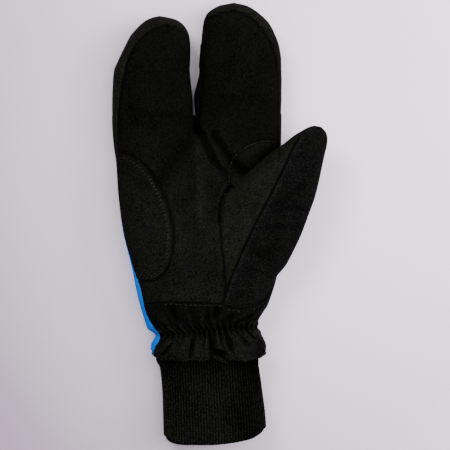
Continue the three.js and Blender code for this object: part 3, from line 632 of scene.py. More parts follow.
def thumb_points(a, b):
    """Points of the thumb's skin at the places a across and b along."""
    b = b + 0 * a
    x, y = from_thumb(a, b)
    return np.stack([x, y, thumb_skin(a, b)], -1)


def thumb_grid(left, right, b, columns):
    """Rows of points between two edges, crowded toward both."""
    return thumb_points(left + (right - left) * crowd(columns)[None, :], b)


def front_piece():
    """The brushed front. Beside its free edge three more columns turn the cloth down."""
    b = rows_between(-31.7, FRONT_TOP, 150)[:, None]
    inner = thumb_inner(b)
    front = thumb_grid(inner, np.maximum(x_of(TERRY_SEAM_THUMB, b), inner), b, 56)
    turned = front[:, :1].repeat(3, 1)
    turned[:, :, 2] -= np.array([4.0, 2.4, 1.0])
    turned[:, :, 0] += np.array([1.2, 0.4, 0.1])
    turned = np.where((b > GUSSET_TOP)[:, :, None], turned, front[:, :1])
    return grid_piece("thumb_palm_cloth", np.concatenate([turned, front], 1))


def wrapped_terry():
    """The terry: a cap that closes the tip, the part over the top from the seam to the
    outer edge, and the part under the thumb, which ends where the hand hides it."""
    b = np.concatenate([rows_between(-31.9, 98.7, 190), [98.85]])[:, None]
    at_tip, on_hand = (b > FRONT_TOP)[:, :, None], (b < 0)[:, :, None]
    outer = thumb_outer(b)
    inner = np.where(b > FRONT_TOP, column(THUMB, b, 1) - 0.2, x_of(TERRY_SEAM_THUMB, b))
    inner = np.minimum(inner, outer)
    over = thumb_grid(inner, outer, b, 50)
    far_side = np.maximum(rim(THUMB, b, -1), (10.2 - 0.46 * b) / COS)
    far_side = np.where(b < 0, outer, np.minimum(far_side, outer))
    a = outer + (far_side - outer) * crowd(34)[None, 1:]
    z = column(THUMB, b, 3) - column(THUMB, b, 4) * arch(oval(THUMB, b, a), FLAT)
    x, y = from_thumb(a, b + 0 * a)
    under = np.where(on_hand, over[:, -1:], np.stack([x, y, z], -1))
    start = np.where(b > FRONT_TOP, rim(THUMB, b, -1), inner)
    cap = thumb_points(start + (inner - start) * np.linspace(0, 1, 8)[None, :], b)
    cap = np.where(at_tip, cap, over[:, :1])
    points = np.concatenate([cap[:, :-1], over, under], 1)
    return grid_piece("thumb_terry_cloth", points, weld=2e-5)


thumb_front = counted(front_piece())
terry_piece = counted(wrapped_terry())

# %% [markdown]
# ## The blue back
# The shell of the back is blue. It comes round the little-finger side below the heel and
# shows there as a bright sliver, caught in by the wrist elastic.

# %% Blue back panel
SIDE_SEAM = [(-35.0, -17.5), (-34.6, -13), (-33.6, -8.5), (-31.8, -5.9), (-30.2, -2),
             (-31.2, 1.3), (-35.0, 5.9), (-38.4, 10.4), (-40.4, 15)] + LEFT_SEAM[1:9]


def blue_piece():
    """Rows from the hem to the knuckles, with short gathers at the elastic, shallow at the
    back: a cosine of the share across. The hem drops at both sides, and the upper rows
    bend to the seam across the back."""
    y = rows_between(-19.6, BACK_LOW, 120, 0.2)[:, None]
    left, right = column(HAND, y, 2), column(HAND, y, 3) - 2.8
    seam_l = np.maximum(x_of(SIDE_SEAM, y), left + 0.2)
    strip = 16
    x, y, z = wrap_row(seam_l, left, right, right, y, strip, 76)
    bent = y + (y_of(BACK_SEAM, x) - BACK_LOW) * ramp(y, 20, BACK_LOW)
    z[:, strip:] = back_height(x, bent)[:, strip:]
    side = hand_side(x, y)
    moved = bent + column(HAND, y, 1) * x + 4.5 * np.abs(side) ** 8 * ramp(-y, 8, 19)
    z = z + np.clip((z - 2) / 6, 0, 1) * 0.7 * bell(y, 6) * np.cos(side * 40)
    x = x + np.sign(side) * 0.5 * bell(y, 6) * np.sin(z * 1.7) * np.clip(
        np.abs(side) * 6 - 5, 0, 1)
    return grid_piece("back_panel_cloth", np.stack([x, moved, z], -1), flip=True)


blue_back = counted(blue_piece())

# %% [markdown]
# ## The gathered wrist
# The black piece under the palm seam is drawn in by an elastic. Some twenty small pleats
# meet there, fan out and fade, and below it the cloth puffs out and turns in at the hem.

# %% Wrist skirt
PLEATS = 20
VALLEYS = [   # depth, x, y, width across, width along
    (3.8, -21.8, 11.8, 2.2, 7.0), (2.0, -10.0, 10.0, 1.5, 6.0), (1.6, 0.0, 10.0, 1.3, 5.0),
    (3.4, 5.9, 12.0, 2.0, 7.0), (2.0, 15.0, 9.0, 1.6, 6.0), (1.5, 26.8, 9.0, 1.8, 5.0),
    (4.8, -25.5, -10.5, 1.2, 5.5), (5.2, -9.8, -10.5, 1.2, 6.5), (5.6, 2.8, -9.0, 2.0, 6.5),
    (3.0, 9.0, -6.0, 1.2, 4.5), (3.8, 14.5, -9.0, 1.5, 6.0), (2.0, 24.0, -7.0, 1.3, 5.0),
    (2.2, 31.0, -8.0, 1.5, 5.0),
]


def gathered(x, y, side):
    """Pleats: a cosine of the share across, bent a little so that no two are alike, sharp
    at the elastic and fading up and down; a pinch at the elastic; and valleys between the
    puffs, each a bell both ways."""
    bend = 0.5 * np.sin(side * 7 + 0.6) + 0.35 * np.sin(side * 13 + y * 0.06)
    bend = bend + np.abs(y) * (0.1 * np.sin(side * 4.2 + 1.2) - 0.75 * side)
    wave = 0.5 + 0.5 * np.cos(side * math.pi * PLEATS + bend)
    above, below = bell(np.clip(y, 0, None), 5.6), bell(np.clip(-y, 0, None), 4.8)
    lift = (2.7 + 0.9 * np.sin(side * 6 + 1)) * (wave ** 1.3 - 0.55) * above * below
    broad = 1.2 * np.sin(side * math.pi * PLEATS / 2 + 1.0 + bend) * bell(np.abs(y) - 7, 5)
    lift = lift + broad - 1.0 * bell(y, 1.8)
    for deep, across, along, wide, long in VALLEYS:
        middle = across * (1 + 0.022 * np.sign(along) * (y - along))
        lift = lift - deep * bell(x - middle, wide) * bell(y - along, long)
    crumple = ripple(x, y, [(9, 0.5), (5, 0.3)], 21) * ramp(-y, 3, 10)
    return lift + crumple


def skirt_front():
    """The palm side, from the side seam to the other edge of the hand, with its hem rolled
    under: nine turned copies of the lowest row."""
    y = rows_between(-18.8, HEM, 110, 0.3)[:, None]
    left, right = column(HAND, y, 2), column(HAND, y, 3)
    seam_l = np.maximum(x_of(SIDE_SEAM, y), left + 0.3)
    spread = np.sin(np.linspace(0, 1, 300) * 1.35)[None, :] / math.sin(1.35)
    x = seam_l + (right + 0.15 - seam_l) * spread
    hems = PALM_HEM[:-1] + TERRY_HEM
    moved = y + (y_of(hems, x) - HEM) * ramp(y, 2, HEM)
    side = hand_side(x, y)
    base = palm_height(x, moved)
    share = np.clip((base - SEAM) / 10, 0.15, 1) * (1 - ramp(y, 14.5, HEM) * 0.85)
    z = base + share * gathered(x, y, side)
    z = z - 0.7 * bell(distance_to(hems, x, moved)[0], 0.9)
    z = z - 5.0 * bell(x - 6.5, 4.6) * ramp(-y, 10, 17) * share
    notch = 3.2 * bell(x - 6.5, 5.5) * ramp(-y, 9, 19.6)
    moved = moved + column(HAND, y, 1) * x + notch
    moved = moved + (1.3 + 0.4 * np.sin(side * 17) + 0.15 * np.sin(side * 47)) * ramp(-y, 9, 19)
    moved = moved + 3.4 * np.abs(side) ** 8 * ramp(-y, 8, 19)
    body = np.stack([x, moved, z], -1)
    rolls = []
    for turn in np.linspace(math.pi, 0.3, 9):
        roll = body[0].copy()
        roll[:, 1] -= 1.5 * math.sin(turn) - 0.8 * max(turn - 2.4, 0)
        roll[:, 2] -= 1.7 * (1 - math.cos(turn))
        rolls.append(roll[None])
    return grid_piece("wrist_skirt_cloth", np.concatenate(rolls + [body], 0))


def skirt_side():
    """The same cloth goes on round the thumb side and a little way under the hand."""
    y = rows_between(-14.8, 44, 120)[:, None]
    right = column(HAND, y, 3)
    start = np.where(y < 16.4, right - 1.2, x_of(TERRY_HEM[3:], y) - 1.0)
    start = np.where(y > 36.5, right - 1.0, np.minimum(start, right - 1.0))
    over = start + (right - start) * crowd(16, both=False)[None, :]
    under = right - 3.4 * (1 - crowd(12, both=False)[::-1])[None, 1:]
    x = np.concatenate([over, under], 1)
    tucked = 0.7 * (1 - ramp(y, 20, 30)) * np.ones(over.shape)
    z = np.concatenate([palm_skin(over, y + 0 * over) - tucked,
                        back_height(under, y + 0 * under)], 1)
    y = y + column(HAND, y, 1) * x
    return grid_piece("skirt_side", np.stack([x, y, z], -1))


skirt = counted(joined("wrist_skirt_cloth", [skirt_front(), skirt_side()]))

# %% [markdown]
# ## The rib cuff
# A storm cuff is a knitted tube, folded double at its lower edge. Its ribs are 1.9 mm wide,
# 84 of them round, so each rib is real relief: a rounded ridge along the tube.

# %% Rib cuff
CUFF = np.array([    # y, middle, half width, low, high
    [-68.2, 5.2, 33.0, 0.9, 25.8], [-60, 4.9, 32.9, 0.6, 26.6], [-36, 3.1, 32.0, 1.6, 27.0],
    [-24, 1.6, 31.8, 3.0, 27.6], [-18.5, 0.2, 33.0, 3.8, 28.8], [-9, 0.4, 30.0, 5.4, 27.4],
    [-1, 0.0, 29.0, 6.0, 26.6]])
RIBS = 84
RIB_POINTS = 8              # round each rib
CUFF_MIDDLE = 13.5          # height of the tube's widest line
CUFF_FOLD, FOLD_RADIUS = -66.1, 1.5   # where the knit folds back, and the fold's roundness
CUFF_EDGE = [(-1, -68.6), (-0.94, -71.6), (-0.81, -73.2), (-0.6, -73.8), (-0.1, -73.8),
             (0.14, -73.2), (0.45, -72.0), (0.75, -69.8), (0.93, -66.4), (1, -63.5)]


def cuff_piece():
    """A profile of (y, how far inside the outer face) carried round the oval of each y,
    with a cosine rib on the outer face. The points of a ring are spread evenly along it."""
    outer = np.linspace(-1, CUFF_FOLD, 74)
    roll = np.linspace(0, math.pi, 9)[1:-1]
    profile = np.concatenate([
        np.stack([outer, 0 * outer], -1),
        np.stack([CUFF_FOLD - FOLD_RADIUS * np.sin(roll), FOLD_RADIUS * (1 - np.cos(roll))], -1),
        np.stack([np.linspace(CUFF_FOLD, -1, 16), np.full(16, 2 * FOLD_RADIUS)], -1)])
    count = RIBS * RIB_POINTS
    turn = np.linspace(0, 2 * math.pi, 1441)[:-1]
    across, upper = np.cos(turn), np.sin(turn) >= 0
    step = np.arange(count)
    edge_x, edge_y = np.array(CUFF_EDGE).T
    rings = []
    for y, inside in profile:
        middle, half = column(CUFF, y, 1), column(CUFF, y, 2) - inside
        low, high = column(CUFF, y, 3) + inside, column(CUFF, y, 4) - inside
        z = np.where(upper, CUFF_MIDDLE + (high - CUFF_MIDDLE) * arch(across, ROUND),
                     CUFF_MIDDLE - (CUFF_MIDDLE - low) * arch(across, FLAT))
        x = middle + half * across
        x, z = np.append(x, x[0]), np.append(z, z[0])
        walked = walk(np.stack([x, z], -1))
        want = np.linspace(0, walked[-1], count + 1)[:-1]
        x, z = np.interp(want, walked, x), np.interp(want, walked, z)
        dx, dz = np.roll(x, -1) - np.roll(x, 1), np.roll(z, -1) - np.roll(z, 1)
        norm = np.hypot(dx, dz)
        lean = 2.4 * math.exp((y + 20) / 7) if y < -18 else 2.4
        phase = step / RIB_POINTS * 2 * math.pi + lean * np.sin(step / count * 2 * math.pi)
        rib = (0.55 if inside < FOLD_RADIUS else 0.25) * np.cos(phase)
        x, z = x + dz / norm * rib, z - dx / norm * rib
        depth = np.clip((-y - 19.6) / 48, 0, 1) ** 1.3
        moved = y + depth * (glide((x - middle) / half, edge_x, edge_y) + 67.6)
        sag = 0.7 * np.sin(x * 0.12 + 0.6) * bell(y + 34, 10) + 0.4 * np.sin(x * 0.2 + y * 0.1)
        z = np.where(z > 14, z + 0.6 * sag, z)
        rings.append(np.stack([x, moved, np.maximum(z, 0.1)], -1))
    return grid_piece("rib_cuff_knit", np.stack(rings + rings[:1]), closed=True, weld=1e-6)


cuff = counted(cuff_piece())

# %% [markdown]
# ## Sewn-on pieces
# The heel patch and the small patch over the web of the thumb are single layers laid on the
# palm, so each is the palm's skin again, raised by the thickness of the cloth and rounded
# down at its cut edge.

# %% Patches
def cut_edge(from_edge, radius):
    """0 on the cloth to 1 at its cut edge: what a quarter circle of that radius takes off."""
    return 1 - np.sqrt(np.clip(1 - (1 - np.clip(from_edge / radius, 0, 1)) ** 2, 0, 1))


def heel_patch_piece():
    """Rings that shrink from the edge of an oval to its middle, cut off at the side seam:
    raised by 1.1 mm, rounded down over the last 1.1 mm and drawn in along the stitches."""
    wide = HEEL_HALF[0]
    turn = np.linspace(0, 2 * math.pi, 181)[None, :]
    size = np.concatenate([1 - np.array([0, 0.15, 0.4, 0.8, 1.3, 2.2]) / wide,
                           np.linspace(0.86, 0, 34)])[:, None]
    x, y = heel_oval(turn, *(HEEL_HALF[:, None, None] * size))
    seam = x_of(LEFT_SEAM, y) + 0.3
    from_edge = np.minimum((1 - size) * wide + 0 * x, np.clip(x - seam, 0, None) + 0.2)
    x = np.maximum(x, seam)
    stitched = 0.35 * bell(from_edge - 2.6, 0.7)
    z = palm_skin(x, y) + 1.1 - 1.5 * cut_edge(from_edge, 1.1) - stitched
    return grid_piece("heel_patch_cloth", np.stack([x, y, z], -1))


def crotch_patch_piece():
    """Rows between the sewn edge on the palm and a line hidden by the thumb."""
    line = np.asarray(CROTCH_EDGE, float)
    walked = walk(line)
    share = np.linspace(0, walked[-1], 70)
    edge = np.stack([glide(share, walked, line[:, 0]), glide(share, walked, line[:, 1])], -1)
    far = np.linspace((47.4, 112), (18, 94), 70)
    t = np.concatenate([[0, 0.02, 0.05], np.linspace(0.1, 1, 20)])[:, None, None]
    x, y = np.moveaxis(edge + (far - edge) * t, -1, 0)
    round_off = cut_edge(distance_to(edge, x, y)[0], 0.9)
    z = palm_skin(x, y) + 0.85 - 1.1 * round_off
    return grid_piece("crotch_patch_cloth", np.stack([x, y, z], -1))


heel = counted(heel_patch_piece())
crotch = counted(crotch_patch_piece())

# %% [markdown]
# ## The hang loop
# A short loop of tape is caught under the hem, to hang the pair up or clip it together. It
# is a flat strip carried over an arch.

# %% Hang loop
def loop_piece():
    """A strip across s carried over half a turn t, higher in the middle than a circle."""
    t = np.linspace(0, math.pi, 40)[:, None]
    s = np.linspace(-1, 1, 12)[None, :]
    x = 8.6 - 5.4 * np.cos(t) + 0.5 * s
    y = -17.6 + 2.1 * np.cos(t) + 1.3 * s
    z = 27.2 + 3.6 * np.sin(t) ** 0.8 - 0.3 * s * s
    return grid_piece("hang_loop_tape", np.stack([x, y, z], -1), flip=True)


loop = counted(loop_piece())

# %% [markdown]
# ## Stitches
# Each stitch is a small capsule of thread, about 2 mm long and 0.3 mm thick, pressed half
# into the cloth. They are computed together: one capsule's points, carried to every place.

# %% Stitches
def stitches(name, places, directions, heights, length=2.3, radius=0.2):
    """Capsules: six-sided rings at four stations along each stitch, closed at the ends."""
    stations = np.array([-0.5, -0.32, 0.32, 0.5]) * length
    sizes = np.array([0.35, 1.0, 1.0, 0.35]) * radius
    turn = np.arange(6) / 6 * 2 * math.pi
    ring = np.stack([np.cos(turn), np.sin(turn)], -1)
    n = len(places)
    along = directions / np.linalg.norm(directions, axis=1, keepdims=True)
    across = sideways(along)
    body = np.zeros((n, 4, 6, 3))
    body[..., :2] = places[:, None, None] + along[:, None, None] * stations[None, :, None, None]
    body[..., :2] += across[:, None, None] * (ring[:, 0][None, None, :, None]
                                              * sizes[None, :, None, None])
    dip = 1 - (stations / (0.5 * length)) ** 2
    body[..., 2] = (heights[:, None, None] + ring[:, 1][None, None] * sizes[None, :, None]
                    + (dip * 0.12)[None, :, None])
    base = (np.arange(n) * 24)[:, None, None]
    a = np.arange(3)[:, None] * 6 + np.arange(6)[None]
    b = np.arange(3)[:, None] * 6 + (np.arange(6)[None] + 1) % 6
    quads = np.stack([a, b, b + 6, a + 6], -1).reshape(1, -1, 4) + base
    mesh = bpy.data.meshes.new(name)
    ends = [list(range(k * 24 + 5, k * 24 - 1, -1)) for k in range(n)]
    ends += [list(range(k * 24 + 18, k * 24 + 24)) for k in range(n)]
    mesh.from_pydata(((body.reshape(-1, 3) + SHIFT) * MM).tolist(), [],
                     quads.reshape(-1, 4).tolist() + ends)
    return shown(name, mesh)


def sideways(way):
    """Directions turned a quarter to the left."""
    return np.stack([-way[:, 1], way[:, 0]], -1)


def along_line(line, pitch, offset=0.0):
    """Points every pitch along a line, moved sideways by offset, and their directions."""
    line = np.asarray(line, float)
    walked = walk(line)
    want = np.arange(pitch / 2, walked[-1], pitch)
    behind, spots, ahead = (
        np.stack([np.interp(want + step, walked, line[:, 0]),
                  np.interp(want + step, walked, line[:, 1])], -1) for step in (-0.3, 0, 0.3))
    way = ahead - behind
    way /= np.linalg.norm(way, axis=1, keepdims=True)
    return spots + sideways(way) * offset, way


def heel_stitches():
    """Two rows inside the edge, whose stitches lean toward each other as a zigzag does."""
    parts, ways = [], []
    for inset, lean in ((1.9, 0.75), (3.0, -0.75)):
        spots, way = along_line(heel_outline(inset), 2.5)
        parts.append(spots)
        ways.append(way + sideways(way) * lean)
    spots, ways = np.concatenate(parts), np.concatenate(ways)
    keep = spots[:, 0] > x_of(LEFT_SEAM, spots[:, 1]) + 1.0
    spots, ways = spots[keep], ways[keep]
    return stitches("heel_stitches", spots, ways,
                    palm_skin(spots[:, 0], spots[:, 1]) + 0.82, 1.7, 0.15)


def seam_stitches(name, line, offset, pitch, lift):
    """A row of stitches beside a seam, lift above the skin."""
    spots, way = along_line(line, pitch, offset)
    return stitches(name, spots, way, palm_skin(spots[:, 0], spots[:, 1]) + lift, 1.9, 0.12)


def lint():
    """A few stray fibres, as the brushed cloth picks them up: three where the photograph has
    them and nine more from a fixed seed."""
    draw = np.random.default_rng(5)
    spots = np.concatenate([[(43.0, 158), (31.3, 148.9), (-50.3, 136.5)],
                            draw.uniform((-48, 40), (5, 185), (9, 2))])
    return stitches("lint", spots, draw.normal(size=spots.shape),
                    palm_skin(spots[:, 0], spots[:, 1]) + 0.1, 0.8, 0.12)


thread_pieces = [
    heel_stitches(),
    lint(),
    seam_stitches("web_edge", CROTCH_EDGE, -0.3, 1.8, 0.75),
    seam_stitches("hem_stitches", PALM_HEM + TERRY_HEM[1:5], -1.6, 3.2, 0.0),
]
print("stitches:", [len(piece.data.polygons) // 20 for piece in thread_pieces])

# %% [markdown]
# ## Cloths
# Every cloth here is nearly black, so what tells them apart is how they scatter light: the
# nap of the palm, the loops of the terry, the ridges of the knit. Each is a principled
# surface with almost no gloss, and with bump and colour from noise in millimetres.

# %% Node helper
def linear(code):
    """An sRGB hex colour as linear light: ((c + 0.055) / 1.055)^2.4 above 0.04045."""
    parts = [int(code[i:i + 2], 16) / 255 for i in (0, 2, 4)]
    return [c / 12.92 if c <= 0.04045 else ((c + 0.055) / 1.055) ** 2.4 for c in parts] + [1.0]


def node(tree, kind, settings=None, **links):
    """Adds a node, sets its properties and values, and links its inputs by name."""
    made = tree.nodes.new(kind)
    for key, value in (settings or {}).items():
        if isinstance(key, int) or key in made.inputs.keys():
            made.inputs[key].default_value = value
        else:
            setattr(made, key, value)
    for key, source in links.items():
        slot = int(key[1:]) if key.startswith("_") else key.replace("_", " ")
        tree.links.new(source, made.inputs[slot])
    return made


def maths(tree, operation, *terms):
    """One operation on up to three terms, each a number or another node's output."""
    numbers = {i: term for i, term in enumerate(terms) if isinstance(term, float)}
    links = {f"_{i}": term for i, term in enumerate(terms) if i not in numbers}
    return node(tree, "ShaderNodeMath", {"operation": operation, **numbers}, **links).outputs[0]


def object_place(tree):
    """Where a point lies in the frame, in metres."""
    return node(tree, "ShaderNodeTexCoord").outputs["Object"]


def new_cloth(name, roughness, specular):
    """A principled surface with its constants on its own sockets."""
    cloth = bpy.data.materials.new(name)
    cloth.use_nodes = True
    tree = cloth.node_tree
    shader = tree.nodes["Principled BSDF"]
    for socket, value in (("Roughness", roughness), ("Metallic", 0.0), ("IOR", 1.5),
                          ("Specular IOR Level", specular)):
        shader.inputs[socket].default_value = value
    return cloth, tree, shader


def noise(tree, place, size_mm, detail, rough):
    """Noise whose features are about size_mm wide, on Object coordinates in metres."""
    return node(tree, "ShaderNodeTexNoise", {"Scale": 1000.0 / size_mm, "Detail": detail,
                                             "Roughness": rough}, Vector=place).outputs["Fac"]


def blend_colours(tree, factor, first, second):
    """From the first hex colour to the second as factor goes from 0 to 1."""
    mix = node(tree, "ShaderNodeMix", {"data_type": "RGBA", 6: linear(first),
                                       7: linear(second)}, _0=factor)
    return mix.outputs[2]


def range_of(tree, value, low, high, to_low=0.0, to_high=1.0):
    """Maps low to to_low and high to to_high in a straight line, held at both ends."""
    return node(tree, "ShaderNodeMapRange", {"From Min": low, "From Max": high,
                                             "To Min": to_low, "To Max": to_high},
                Value=value).outputs[0]


# %% Painted shade of folds
def shade_folds(piece, smooth, gain=0.13):
    """Stores at every point how far it lies below the smooth shape, times gain, between -1.2
    and 0.85: painted shade in folds and seams, and a painted highlight on ridges."""
    count = len(piece.data.vertices)
    where = np.empty(count * 3, np.float32)
    piece.data.vertices.foreach_get("co", where)
    where = where.reshape(-1, 3) / MM - SHIFT
    below = smooth(where[:, 0], where[:, 1]) - where[:, 2]
    above = (np.abs(below) < 15) & (where[:, 2] > SEAM - 3)
    shade = np.where(above, np.clip(gain * below, -1.2, 0.85), 0)
    stored = piece.data.attributes.new("shade", "FLOAT", "POINT")
    stored.data.foreach_set("value", shade.astype(np.float32))
    print(piece.name, "shade from", round(float(shade.min()), 2), "to",
          round(float(shade.max()), 2))


def smooth_thumb(x, y):
    """The thumb and the palm beside it without folds, ripples and seams."""
    return thumb_and_palm(*into_thumb(x, y), palm_height(x, y))


SLOT_RIGHT = SLOT_EDGE[1:6] + [(-2.8, 178)]


def smooth_cuff(x, y):
    """The tube without its ribs, raised toward the thumb side and under the hem: painted shade
    there, and in the valleys between the ribs."""
    tube = CUFF_MIDDLE + (column(CUFF, y, 4) - CUFF_MIDDLE) * arch(oval(CUFF, y, x), ROUND)
    return tube + 1.3 * ramp(x, 10, 26) + 1.2 * ramp(y, -36, -20) - 0.3


shade_folds(cuff, smooth_cuff, 0.4)
# Painted shade on the palm: in its folds and seams, over the root of the index pouch and in a
# strip beside the slot.
shade_folds(palm, lambda x, y: palm_height(x, y)
            + 1.7 * bell(y - 122, 16) * ramp(x, 10, 20)
            + 5.0 * bell(distance_to(SLOT_RIGHT, x, y)[0], 1.6))
# Painted shade on the right rim of the pouch backs and painted light on the left rim, besides
# shade in their seams.
shade_folds(finger_back, lambda x, y: palm_height(x, y) + 3 * ramp(x, 38, 46)
            - 1.5 * ramp(-x, 40, 50))
# Painted shade and light on the wrist: shade above the elastic, on the thumb side and in the
# hollow by the loop, light on the hem puffs, and the pinch at the elastic left unshaded.
shade_folds(skirt, lambda x, y: palm_height(x, y) + 4.4 * ramp(y, -7, 3) - 1.7
            - 1.2 * bell(y, 2.2) + 4.0 * ramp(x, 26, 34) * ramp(-y, 1, 6)
            + 3 * ramp(x, 31, 37) + 3.5 * bell(x - 8.5, 6) * ramp(-y, 6, 14), 0.16)
shade_folds(heel, lambda x, y: palm_height(x, y) + 1.0)
shade_folds(crotch, lambda x, y: palm_height(x, y) + 0.8)
shade_folds(thumb_front, smooth_thumb)
# Painted highlight: a light line on the terry beside its seam, and painted shade in its creases
# and seams.
shade_folds(terry_piece, lambda x, y: smooth_thumb(x, y) - 7.0 * bell(
    distance_to(TERRY_SEAM, x, y)[0] - 1.7, 1.1), 0.15)


# %% Cloth colour
DYE_MM = 14                 # the colour wanders between a cloth's two dyes over this length


def cloth_colour(tree, shader, tone, first, second):
    """Two dyes blended by large noise, times the tone, times 1 less the painted shade stored
    at the points."""
    shade = node(tree, "ShaderNodeAttribute", {"attribute_name": "shade"}).outputs["Fac"]
    scale = maths(tree, "MULTIPLY", tone, maths(tree, "SUBTRACT", 1.0, shade))
    dye = range_of(tree, noise(tree, object_place(tree), DYE_MM, 2.0, 0.6), 0.3, 0.7)
    both = blend_colours(tree, dye, first, second)
    colour = node(tree, "ShaderNodeVectorMath", {"operation": "SCALE"}, _0=both, Scale=scale)
    tree.links.new(colour.outputs[0], shader.inputs["Base Color"])


def mottled(tree, place, grain_mm, patch_mm, grain_share, low):
    """Fine grain, and one tone from low to 1: grain times its share plus large patches."""
    grain = range_of(tree, noise(tree, place, grain_mm, 1.0, 0.6), 0.42, 0.58)
    patch = range_of(tree, noise(tree, place, patch_mm, 2.0, 0.5), 0.3, 0.7)
    share = range_of(tree, patch, 0, 1, low, 1 - grain_share)
    return grain, maths(tree, "MULTIPLY_ADD", grain, grain_share, share)


def relief(tree, shader, height, strength, distance_mm):
    """Bump of at most distance_mm, turned into the surface's normal."""
    bump = node(tree, "ShaderNodeBump", {"Strength": strength, "Distance": distance_mm * MM},
                Height=height)
    tree.links.new(bump.outputs[0], shader.inputs["Normal"])


# %% Brushed microfibre
def brushed_cloth(name, first, second, tip_shade_share=0.5):
    """Suede-like microfibre, brushed after knitting: short nap that lies in patches, so it
    is mottled at some 15 mm and grainy at 1 mm. Toward the finger tips the tone falls in a
    straight line to the share given last: painted shade on the pouches."""
    cloth, tree, shader = new_cloth(name, 0.95, 0.02)
    place = object_place(tree)
    grain, tone = mottled(tree, place, 0.8, 15, 0.7, 0.14)
    # Painted shade: the tone falls toward the finger tips.
    up = node(tree, "ShaderNodeSeparateXYZ", Vector=place).outputs["Y"]
    tip_shade = range_of(tree, up, 0.0, 0.065, 1.0, tip_shade_share)
    cloth_colour(tree, shader, maths(tree, "MULTIPLY", tone, tip_shade), first, second)
    relief(tree, shader, grain, 0.5, 0.4)
    return cloth


# %% Woven shell
WAVE = 1000.0 / 20 * 2 * math.pi   # a wave texture's scale, for a wave 1 mm long


def woven_cloth(name, first, second, gloss=0.03, low=0.1):
    """Plain-woven nylon or softshell. Its threads are 0.4 mm apart and drawn 1.3 mm apart,
    or they wouldn't show: two crossed waves, with specks of a millimetre in the colour."""
    cloth, tree, shader = new_cloth(name, 0.85, gloss)
    place = object_place(tree)
    waves = [node(tree, "ShaderNodeTexWave", {
        "bands_direction": axis, "Scale": WAVE / 1.3, "Distortion": 0.8, "Detail": 1.0},
        Vector=place).outputs["Fac"] for axis in ("X", "Y")]
    grain, tone = mottled(tree, place, 1.0, 9, 0.7 * (1 - low) / 0.9, low)
    cloth_colour(tree, shader, tone, first, second)
    weave = maths(tree, "MULTIPLY", *waves)
    relief(tree, shader, maths(tree, "MULTIPLY_ADD", grain, 0.6, weave), 0.4, 0.3)
    return cloth


# %% Terry
def terry_cloth(name, first, second):
    """Looped terry: uncut loops about 1.2 mm across whose tops catch the light, so the tops
    are paler than the gaps, and the pile is trodden into soft streaks."""
    cloth, tree, shader = new_cloth(name, 1.0, 0.02)
    place = object_place(tree)
    loops = node(tree, "ShaderNodeTexVoronoi", {"Scale": 1000.0 / 1.4, "Randomness": 1.0},
                 Vector=place).outputs["Distance"]
    tops = range_of(tree, loops, 0.1, 0.7, 0.5, 0.0)
    tuft, tone = mottled(tree, place, 1.1, 8, 0.5, 0.2)
    cloth_colour(tree, shader, maths(tree, "ADD", tone, tops), first, second)
    relief(tree, shader, maths(tree, "ADD", tops, tuft), 0.8, 0.8)
    return cloth


# %% Rib knit
def knit_cloth(name, first, second):
    """Acrylic rib knit: the ribs are modelled, and along each one the stitches repeat
    every 1.5 mm as small bumps, with stray fibres as fine noise."""
    cloth, tree, shader = new_cloth(name, 0.95, 0.02)
    cloth_uv = node(tree, "ShaderNodeTexCoord").outputs["UV"]
    place = object_place(tree)
    rows = node(tree, "ShaderNodeTexWave", {
        "bands_direction": "Y", "Scale": WAVE / 1.5, "Distortion": 1.4,
        "Detail": 1.0, "Detail Scale": 2.0}, Vector=cloth_uv).outputs["Fac"]
    grain, tone = mottled(tree, place, 0.9, 12, 0.78, 0.14)
    cloth_colour(tree, shader, tone, first, second)
    relief(tree, shader, maths(tree, "MULTIPLY_ADD", grain, 0.8, rows), 0.6, 0.4)
    return cloth


# %% Colours on the pieces
palm_cloth = brushed_cloth("brushed_microfibre", "171812", "161615")
# Painted light: the thumb's copy of the palm's microfibre is lighter, and its tone barely falls
# toward the tip.
lit_thumb_cloth = brushed_cloth("brushed_microfibre_thumb_lit", "1b1c14", "1a1a18", tip_shade_share=0.95)
patch_cloth = brushed_cloth("brushed_microfibre_patch", "171812", "161615")
black_shell = woven_cloth("black_softshell", "161711", "151514")
# Painted shade: the slot's lining is the shell's cloth, made darker where it lies in the slot.
shaded_lining_cloth = woven_cloth("black_lining_painted_shade", "080807", "080808", gloss=0.01)
skirt_cloth = woven_cloth("black_microfibre_skirt", "12130e", "111111")
blue_shell = woven_cloth("blue_softshell", "0060c0", "0066c8", gloss=0.0, low=0.9)
terry_loops = terry_cloth("black_terry", "0f100d", "0e0e0f")
rib_knit = knit_cloth("black_rib_knit", "151610", "141414")
tape = woven_cloth("black_tape", "11110d", "10100e")
thread_cloth = woven_cloth("spun_polyester_thread", "3b3a34", "3b3a34")

WALL = 1.4
for piece, cloth, thick in (
        (palm, palm_cloth, WALL), (finger_back, black_shell, WALL), (blue_back, blue_shell, WALL),
        (fourchette, shaded_lining_cloth, 1.0), (thumb_front, lit_thumb_cloth, WALL),
        (terry_piece, terry_loops, WALL), (heel, patch_cloth, 0.5), (crotch, patch_cloth, 0.5),
        (skirt, skirt_cloth, 1.2), (cuff, rib_knit, 0), (loop, tape, 0.9)):
    piece.data.materials.append(cloth)
    if thick:
        wall = piece.modifiers.new("wall", "SOLIDIFY")
        wall.thickness = thick * MM
        wall.offset = -1
for piece in thread_pieces:
    piece.data.materials.append(thread_cloth)
